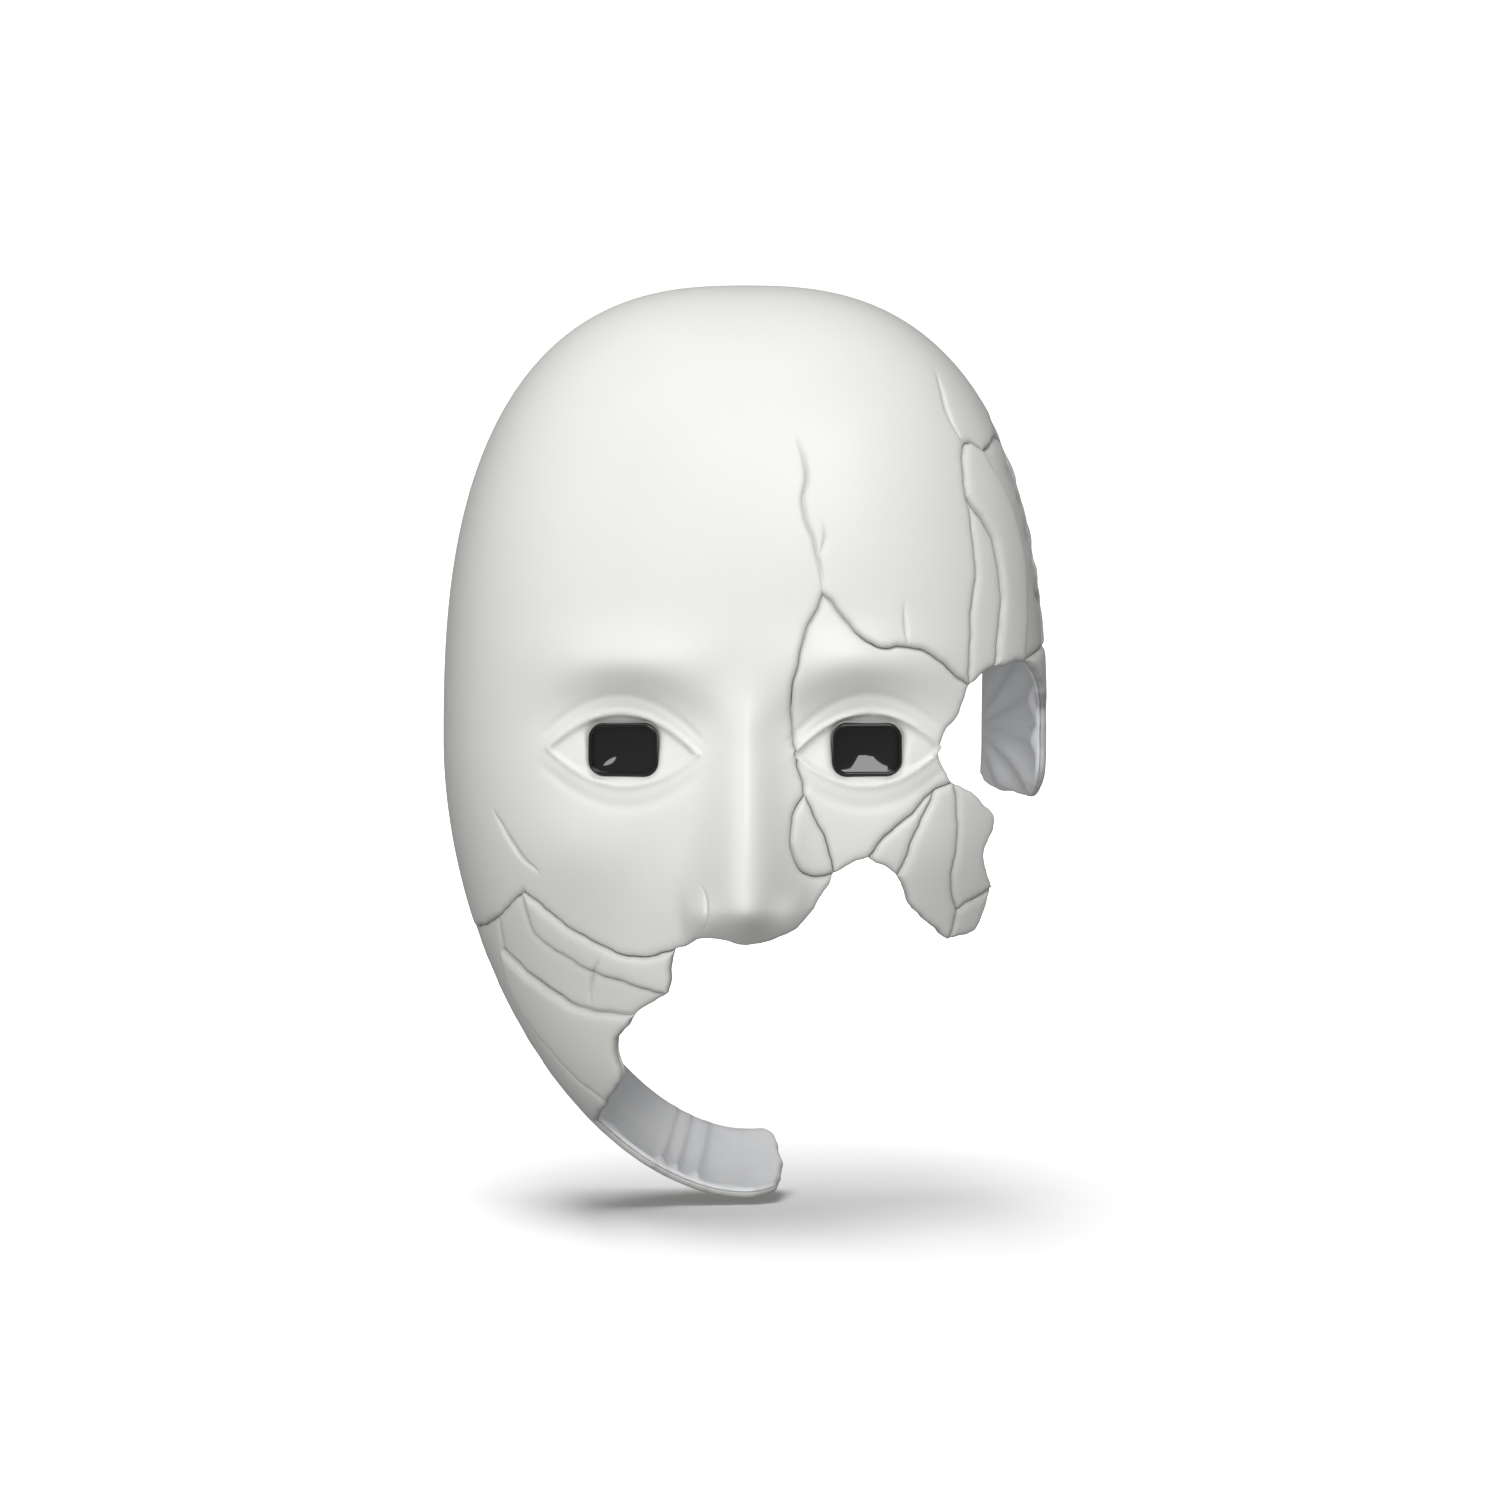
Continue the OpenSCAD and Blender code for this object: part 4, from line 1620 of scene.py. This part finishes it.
    def build(self) -> None:
        """Cuts the map, then makes every shard and the backing."""
        cracks = CrackMap()
        Network().lay(cracks, [*(eye.hole() for eye in self.eyes), self.eyelet_ring()])
        cracks.sample()
        cut = cracks.cut(list(Line), self.shard_pitch)
        grooves = [s for s in cracks.strokes if s.kind is Line.GROOVE]
        for spec in self.shards():
            slab = Slab(
                cut, cut.region(spec.seed), 0.0, self.glaze_t,
                lift=spec.lift, tilt=spec.tilt, grooves=grooves, dents=self.chips,
            )
            piece = slab.build(f"{spec.node}_glazed")
            finish_piece(piece, self.glaze, nodes=[spec.node])
        whole = cracks.cut([Line.BREAK], self.backing_pitch)
        top = self.glaze_t + self.bond
        slab = Slab(
            whole, whole.region(self.shards()[0].seed), top, top + self.backing_t, PLAIN,
            edge=(0.3, 0.1), inner_edge=(1.0, 0.95), inner_relief=self.inner_folds,
        )
        finish_piece(slab.build("backing_moulded"), self.backing, nodes=["backing_shell"])


@dataclass
class FoamPads:
    """Cloth-covered foam pads, swollen by a cloth simulation and sewn round their edges."""

    cloth: bpy.types.Material
    thread: bpy.types.Material
    nodes: tuple[str, ...] = ("forehead_pad", "temple_pad_left", "temple_pad_right", "cheek_pad_left")
    voxel: float = 1.25
    smoothing: int = 14
    most: float = 1.3
    fill: float = 0.75
    glued_depth: float = 4.73
    pressure: float = 4.0
    stiffness: float = 60.0
    bending: float = 4.0
    frames: int = 20
    pitch: float = 3.4
    stitch: Point = (2.1, 0.42)
    sewn_reach: Point = (0.86, 0.72)

    def build(self) -> None:
        """Makes every pad and its stitches."""
        for node in self.nodes:
            pad = self.swell(node)
            finish_piece(pad, self.cloth, nodes=[node])
            self.stitches(pad, node)

    def swell(self, node: str) -> bpy.types.Object:
        """A pad, crowned on the side that meets the face and flat where it is glued on.

        Args:
            node: the CAD node that gives its shape.

        Returns:
            The pad.
        """
        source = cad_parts[node]
        mesh = source.data.copy()
        mesh.name = f"{node}_sewn"
        pad = bpy.data.objects.new(f"{node}_sewn", mesh)
        bpy.context.scene.collection.objects.link(pad)
        work = bmesh.new()
        work.from_mesh(mesh)
        bmesh.ops.remove_doubles(work, verts=work.verts, dist=1e-6)
        bmesh.ops.recalc_face_normals(work, faces=work.faces)
        work.to_mesh(mesh)
        work.free()
        apply_modifier(pad, "REMESH", mode="VOXEL", voxel_size=self.voxel * MM)
        apply_modifier(pad, "SMOOTH", factor=0.5, iterations=self.smoothing)
        before = coordinates(pad)
        self.inflate(pad, self.glued(before))
        move = coordinates(pad) - before
        size = np.linalg.norm(move, axis=1, keepdims=True)
        set_coordinates(pad, before + move * np.minimum(1, self.most * MM / np.maximum(size, 1e-9)))
        apply_modifier(pad, "SUBSURF", levels=1, render_levels=1)
        pad.data.polygons.foreach_set("use_smooth", [True] * len(pad.data.polygons))
        return pad

    def glued(self, points: Array) -> Array:
        """Finds the side that is glued to the wall of the mask.

        Args:
            points: the pad's points in metres.

        Returns:
            Which of them lie against the wall.
        """
        flat = FORM.seen(points[:, [0, 2]] / MM)
        depth = ((FORM.on_map(flat) - points / MM) * FORM.slopes(flat)[2]).sum(1)
        return depth < self.glued_depth

    def inflate(self, pad: bpy.types.Object, held: Array) -> None:
        """Runs the cloth simulation.

        Args:
            pad: the pad, which is left as a plain mesh.
            held: which of its points stay in place.
        """
        group = pad.vertex_groups.new(name="glued")
        group.add([int(i) for i in np.flatnonzero(held)], 1.0, "REPLACE")
        cloth = pad.modifiers.new("swell", "CLOTH")
        cloth.settings.use_pressure = True
        cloth.settings.uniform_pressure_force = self.pressure
        cloth.settings.vertex_group_mass = group.name
        cloth.settings.tension_stiffness = self.stiffness
        cloth.settings.compression_stiffness = self.stiffness
        cloth.settings.shear_stiffness = self.stiffness / 2
        cloth.settings.bending_stiffness = self.bending
        cloth.settings.effector_weights.gravity = 0.0
        cloth.point_cache.frame_start, cloth.point_cache.frame_end = 1, self.frames
        scene = bpy.context.scene
        for number in range(1, self.frames + 1):
            scene.frame_set(number)
        bake_modifiers(pad)
        pad.vertex_groups.clear()
        scene.frame_set(1)

    def stitches(self, pad: bpy.types.Object, node: str) -> None:
        """A row of stitches a little inside the pad's edge, laid by geometry nodes.

        Args:
            pad: the finished pad.
            node: the CAD node that it stands for.
        """
        points = coordinates(pad) / MM
        flat = FORM.seen(points[:, [0, 2]])
        middle, axis = flat.mean(0), self.long_axis(flat)
        reach = np.abs((flat - middle) @ axis).max(0) * np.array(self.sewn_reach)
        turn = np.linspace(-np.pi, np.pi, 73)[:-1]
        shape = np.stack([np.cos(turn), np.sin(turn)], axis=1)
        path = middle + (np.sign(shape) * np.abs(shape) ** 0.45 * reach) @ axis.T
        tree = kd_tree(points)
        normal = FORM.slopes(path)[2]
        start = FORM.on_map(path) - normal * 14.0
        hits = np.array([points[tree.find(p)[1]] for p in start]) - normal * 0.12
        smooth = (np.roll(hits, 1, 0) + 2 * hits + np.roll(hits, -1, 0)) / 4
        rail = bpy.data.meshes.new("stitch_rail")
        count = len(smooth)
        rail.from_pydata((smooth * MM).tolist(), [(i, (i + 1) % count) for i in range(count)], [])
        row = bpy.data.objects.new(f"{node}_stitches", rail)
        bpy.context.scene.collection.objects.link(row)
        length, thickness = self.stitch
        sizes = {"Pitch": self.pitch * MM, "Length": length * MM, "Thickness": thickness * MM}
        set_inputs(row, stitch_tree(self.thread), sizes)
        bake_modifiers(row)
        finish_piece(row, self.thread)

    @staticmethod
    def long_axis(flat: Array) -> Array:
        """Axes of the pad on the map, its long one first."""
        _, _, rows = np.linalg.svd(flat - flat.mean(0), full_matrices=False)
        return rows.T


def coordinates(piece: bpy.types.Object) -> Array:
    """Reads a mesh's points.

    Args:
        piece: the piece.

    Returns:
        Its points in metres.
    """
    found = np.empty(len(piece.data.vertices) * 3, np.float32)
    piece.data.vertices.foreach_get("co", found)
    return found.reshape(-1, 3).astype(float)


def set_coordinates(piece: bpy.types.Object, points: Array) -> None:
    """Moves a mesh's points."""
    piece.data.vertices.foreach_set("co", points.astype(np.float32).ravel())
    piece.data.update()


def bake_modifiers(piece: bpy.types.Object) -> None:
    """Turns a piece with modifiers into a plain mesh.

    Args:
        piece: the piece.
    """
    bpy.context.view_layer.update()
    graph = bpy.context.evaluated_depsgraph_get()
    mesh = bpy.data.meshes.new_from_object(piece.evaluated_get(graph), depsgraph=graph)
    piece.modifiers.clear()
    piece.data = mesh


def apply_modifier(piece: bpy.types.Object, kind: str, **settings: object) -> None:
    """Adds one modifier and turns the result into a plain mesh.

    Args:
        piece: the piece.
        kind: the modifier's type.
        settings: the modifier's settings.
    """
    modifier = piece.modifiers.new(kind.lower(), kind)
    for key, value in settings.items():
        setattr(modifier, key, value)
    bake_modifiers(piece)


def set_inputs(piece: bpy.types.Object, tree: bpy.types.NodeTree, values: dict[str, float]) -> None:
    """Adds a geometry nodes modifier.

    Args:
        piece: the piece.
        tree: the modifier's tree.
        values: values of its inputs, by name.
    """
    modifier = piece.modifiers.new(tree.name, "NODES")
    modifier.node_group = tree
    for item in tree.interface.items_tree:
        if item.in_out == "INPUT" and item.name in values:
            modifier[item.identifier] = values[item.name]


def stitch_tree(thread: bpy.types.Material) -> bpy.types.NodeTree:
    """Geometry nodes that lay stitches along a rail.

    Args:
        thread: the stitches' finish.

    Returns:
        A tree with the inputs Pitch, Length and Thickness.
    """
    found = bpy.data.node_groups.get("stitch_row")
    if found:
        return found
    tree = bpy.data.node_groups.new("stitch_row", "GeometryNodeTree")
    face = tree.interface
    face.new_socket("Geometry", in_out="INPUT", socket_type="NodeSocketGeometry")
    for name in ("Pitch", "Length", "Thickness"):
        face.new_socket(name, in_out="INPUT", socket_type="NodeSocketFloat")
    face.new_socket("Geometry", in_out="OUTPUT", socket_type="NodeSocketGeometry")

    def node(kind: str, links: dict[str, object], **settings: object) -> bpy.types.Node:
        """Adds a node.

        Args:
            kind: the node's type.
            links: values or links of its inputs.
            settings: its own settings.

        Returns:
            The node.
        """
        made = tree.nodes.new(kind)
        for key, value in settings.items():
            setattr(made, key, value)
        for key, value in links.items():
            if isinstance(value, bpy.types.NodeSocket):
                tree.links.new(value, made.inputs[key])
            else:
                made.inputs[key].default_value = value
        return made

    given = node("NodeGroupInput", {}).outputs
    pitch, length, thickness = (given[name] for name in ("Pitch", "Length", "Thickness"))
    rail = node("GeometryNodeMeshToCurve", {"Mesh": given["Geometry"]})
    even = node("GeometryNodeResampleCurve", {"Curve": rail.outputs[0], "Length": pitch}, mode="LENGTH")
    tangent = node("GeometryNodeInputTangent", {})
    turn = node("FunctionNodeAlignRotationToVector", {"Vector": tangent.outputs[0]}, axis="Z")
    bead = node("GeometryNodeMeshUVSphere", {"Segments": 8, "Rings": 6, "Radius": 0.5})
    size = node("ShaderNodeCombineXYZ", {"X": thickness, "Y": thickness, "Z": length})
    sized = node("GeometryNodeTransform", {"Geometry": bead.outputs[0], "Scale": size.outputs[0]})
    laid = node(
        "GeometryNodeInstanceOnPoints",
        {"Points": even.outputs[0], "Instance": sized.outputs[0], "Rotation": turn.outputs[0]},
    )
    real = node("GeometryNodeRealizeInstances", {"Geometry": laid.outputs[0]})
    smooth = node("GeometryNodeSetShadeSmooth", {"Geometry": real.outputs[0]})
    dressed = node("GeometryNodeSetMaterial", {"Geometry": smooth.outputs[0], "Material": thread})
    node("NodeGroupOutput", {"Geometry": dressed.outputs[0]})
    return tree


@dataclass
class StrapFittings:
    """Crown eyelet, brackets, rivets, washers and swinging rings."""

    steel: bpy.types.Material
    wire: bpy.types.Material
    eyelet_r: float = 2.5
    eyelet_wall: float = 0.6
    flange: float = 2.2
    out: float = 0.9
    into: float = 4.38
    row: float = 115.0

    def build(self) -> None:
        """Makes the eyelet, and dresses the exact parts."""
        self.eyelet()
        for side in ("left", "right"):
            for part in ("strap_bracket", "bracket_rivets", "rivet_washers"):
                self.dress(f"{part}_{side}", self.steel)
            self.dress(f"strap_ring_{side}", self.wire)

    def eyelet(self) -> None:
        """A rolled eyelet through the crown."""
        r, top, low = self.eyelet_r, self.out, -self.into
        neck, wide = r + self.eyelet_wall, r + self.eyelet_wall + self.flange
        profile = [(r, low + 0.5)]
        profile += [
            (r + 0.5 - 0.5 * math.cos(a), low + 0.5 - 0.5 * math.sin(a)) for a in np.linspace(0.3, 1.57, 5)
        ]
        profile += [
            (wide - 0.3, low), (wide, low + 0.25), (wide - 0.1, low + self.eyelet_wall),
            (neck, low + self.eyelet_wall), (neck, top - self.eyelet_wall),
            (wide - 0.1, top - self.eyelet_wall), (wide, top - 0.35), (wide - 0.35, top - 0.08),
        ]
        profile += [
            (r + 0.6 - 0.6 * math.cos(a), top - 0.6 + 0.6 * math.sin(a)) for a in np.linspace(1.57, 0.0, 6)
        ]
        at = FORM.skin(np.array([90.0]), np.array([self.row]))[0]
        place = Matrix.Translation(at) @ Matrix.Rotation(math.radians(OUTLINE_ROW - self.row), 4, "X")
        piece = lathe("crown_eyelet_rolled", profile, place)
        finish_piece(piece, self.steel, nodes=["crown_eyelet"])

    def dress(self, node: str, material: bpy.types.Material) -> None:
        """Gives an exact CAD part its finish.

        Args:
            node: the part's node.
            material: its finish.
        """
        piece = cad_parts[node]
        piece.data.materials.clear()
        piece.data.materials.append(material)
        report(piece)


# Studio --------------------------------------------------------------------------


class Lit(Enum):
    """What a lamp lights, as the state of the floor in its list of receivers."""

    MASK = "EXCLUDE"
    FLOOR = "INCLUDE"


@dataclass(frozen=True)
class Lamp:
    """A soft rectangular lamp: its place in metres, size, watts, and whether gloss shows it."""

    name: str
    at: Triple
    size: Point
    power: float
    lit: Lit = Lit.MASK
    shows: bool = False
    target: Triple = (0.0, -0.04, 0.0)

    def build(self, floor: bpy.types.Object) -> None:
        """Hangs the lamp, facing the mask.

        Args:
            floor: the sweep.
        """
        data = bpy.data.lights.new(self.name, "AREA")
        data.shape, data.energy = "RECTANGLE", self.power
        data.size, data.size_y = self.size
        lamp = bpy.data.objects.new(self.name, data)
        lamp.location = self.at
        lamp.rotation_euler = (Vector(self.target) - lamp.location).to_track_quat("-Z", "Y").to_euler()
        lamp.visible_camera = False
        lamp.visible_glossy = self.shows
        bpy.context.scene.collection.objects.link(lamp)
        receivers = bpy.data.collections.new(f"{self.name}_receivers")
        receivers.objects.link(floor)
        receivers.collection_objects[0].light_linking.link_state = self.lit.value
        lamp.light_linking.receiver_collection = receivers
        lamp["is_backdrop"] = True


@dataclass
class Studio:
    """Pale glowing floor and backdrop with a painted shadow round the mask's foot, soft lights, and the
    camera before the mask.
    """

    floor_z: float = -126.5
    slope: float = 5.0
    radius: float = 4500.0
    curve: float = 1000.0
    middle_y: float = -31.0
    level_past: float = 400.0
    # The floor's glow is dark near the mask's foot, a painted shadow, and evenly bright further out: where it
    # fades, and its two strengths.
    shadow_fade: Point = (0.1, 0.42)
    dark: float = 0.03
    bright: float = 1.05
    surround: float = 0.2
    distance: float = 3200.0
    elevation: float = 2.0
    frame_width: float = 410.2
    aim: Triple = (1.3, -31.0, -2.0)
    sensor: float = 36.0
    lamps: tuple[Lamp, ...] = (
        Lamp("key", (0.35, -1.45, 1.05), (0.8, 0.8), 7.5, shows=True),
        Lamp("front", (-0.3, -1.75, 0.3), (0.9, 0.9), 12.0),
        Lamp("side", (-1.3, -1.2, 0.5), (0.8, 1.0), 4.5),
        Lamp("crown", (0.0, -0.6, 1.6), (0.8, 0.8), 8.5),
        Lamp("back", (-0.4, 1.7, 0.7), (1.2, 1.2), 11.0),
        Lamp("overhead", (-0.3, -0.1, 2.2), (3.2, 1.4), 84.0, Lit.FLOOR, shows=True),
    )

    def build(self) -> None:
        """Makes the whole set."""
        floor = self.floor()
        for lamp in self.lamps:
            lamp.build(floor)
        self.world()
        self.camera()

    def floor(self) -> bpy.types.Object:
        """A white round set that glows, with a painted shadow where its glow is dark round the mask's foot;
        it also shows soft lit shadows and adds no light of its own to the mask.

        Returns:
            The sweep.
        """
        turn = np.linspace(0, FULL_TURN, 97)[:-1]
        flat = self.radius - self.curve
        profile = [(r, 0.0) for r in (1, 100, 200, 300, 400, 600, 1000, 2000, flat)]
        profile += [
            (flat + self.curve * math.sin(a), self.curve * (1 - math.cos(a)))
            for a in np.linspace(0.2, np.pi / 2, 8)
        ]
        profile += [(self.radius, self.radius)]
        lean = math.tan(math.radians(self.slope))
        loops = []
        for radius, height in profile:
            x, y = radius * np.cos(turn), radius * np.sin(turn)
            rise = lean * (np.clip(y, -self.level_past, self.level_past) - self.middle_y)
            loops.append(np.stack([x, y, self.floor_z + height + rise], axis=1))
        faces = [*(face[::-1] for face in bands(len(loops), len(turn))), range(len(turn))]
        sweep = new_mesh("floor", np.concatenate(loops), faces)
        s = Shader("floor_white")
        centre = (0.0, -self.middle_y * MM, -self.floor_z * MM)
        centred = s.node("ShaderNodeMapping", {}, {"Vector": s.place(), "Location": centre})
        away = s.node("ShaderNodeVectorMath", {"operation": "LENGTH"}, {0: centred}, 1)
        # Painted shadow: the glow is nearly black close to the mask's foot and rises to white further out.
        glow = s.mix(away.step(*self.shadow_fade), (self.dark,) * 3, (self.bright,) * 3)
        s.set(
            Base_Color=(0.9, 0.9, 0.9, 1.0),
            Roughness=1.0,
            Specular_IOR_Level=0.0,
            Emission_Color=glow,
            Emission_Strength=1.0,
        )
        sweep.data.materials.append(s.material)
        sweep.visible_diffuse = False
        sweep.visible_glossy = False
        sweep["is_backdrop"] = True
        return sweep

    def world(self) -> None:
        """Even pale surround."""
        world = bpy.data.worlds.new("surround")
        world.use_nodes = True
        background = world.node_tree.nodes["Background"]
        background.inputs["Color"].default_value = (1, 1, 1, 1)
        background.inputs["Strength"].default_value = self.surround
        bpy.context.scene.world = world

    def camera(self) -> None:
        """A long lens a little above the middle of the mask."""
        data = bpy.data.cameras.new("camera")
        data.sensor_width = self.sensor
        data.lens = self.sensor * self.distance / self.frame_width
        data.clip_end = 50.0
        camera = bpy.data.objects.new("camera", data)
        tilt = math.radians(self.elevation)
        aim = Vector(self.aim)
        camera.location = (aim + self.distance * Vector((0, -math.cos(tilt), math.sin(tilt)))) * MM
        camera.rotation_euler = (math.radians(90 - self.elevation), 0, 0)
        bpy.context.scene.collection.objects.link(camera)
        bpy.context.scene.camera = camera
        bpy.context.scene.view_settings.view_transform = "Standard"


def corners() -> list[list[float]]:
    """The shown object's box as plain lists."""
    return [[float(c) for c in corner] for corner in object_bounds()]


def main() -> None:
    """Builds the whole mask and its set."""
    logging.basicConfig(level=logging.INFO, format="%(name)s: %(message)s")
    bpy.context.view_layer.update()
    eyes = [EyeFrame(-1), EyeFrame(1)]
    MaskShell(WhiteGlaze().material(), WhiteBacking().material(), eyes).build()
    lining = BlackGloss("black_lining").material()
    smoke = BlackGloss("smoked_lens", (0.008, 0.008, 0.009), 0.05).material()
    for eye in eyes:
        EyeFitting(eye, lining, smoke).build()
    FoamPads(PadCloth().material(), Thread().material()).build()
    StrapFittings(Steel("steel").material(), Steel("ring_wire", 0.16).material()).build()
    Studio().build()


if __name__ == "__main__":
    main()
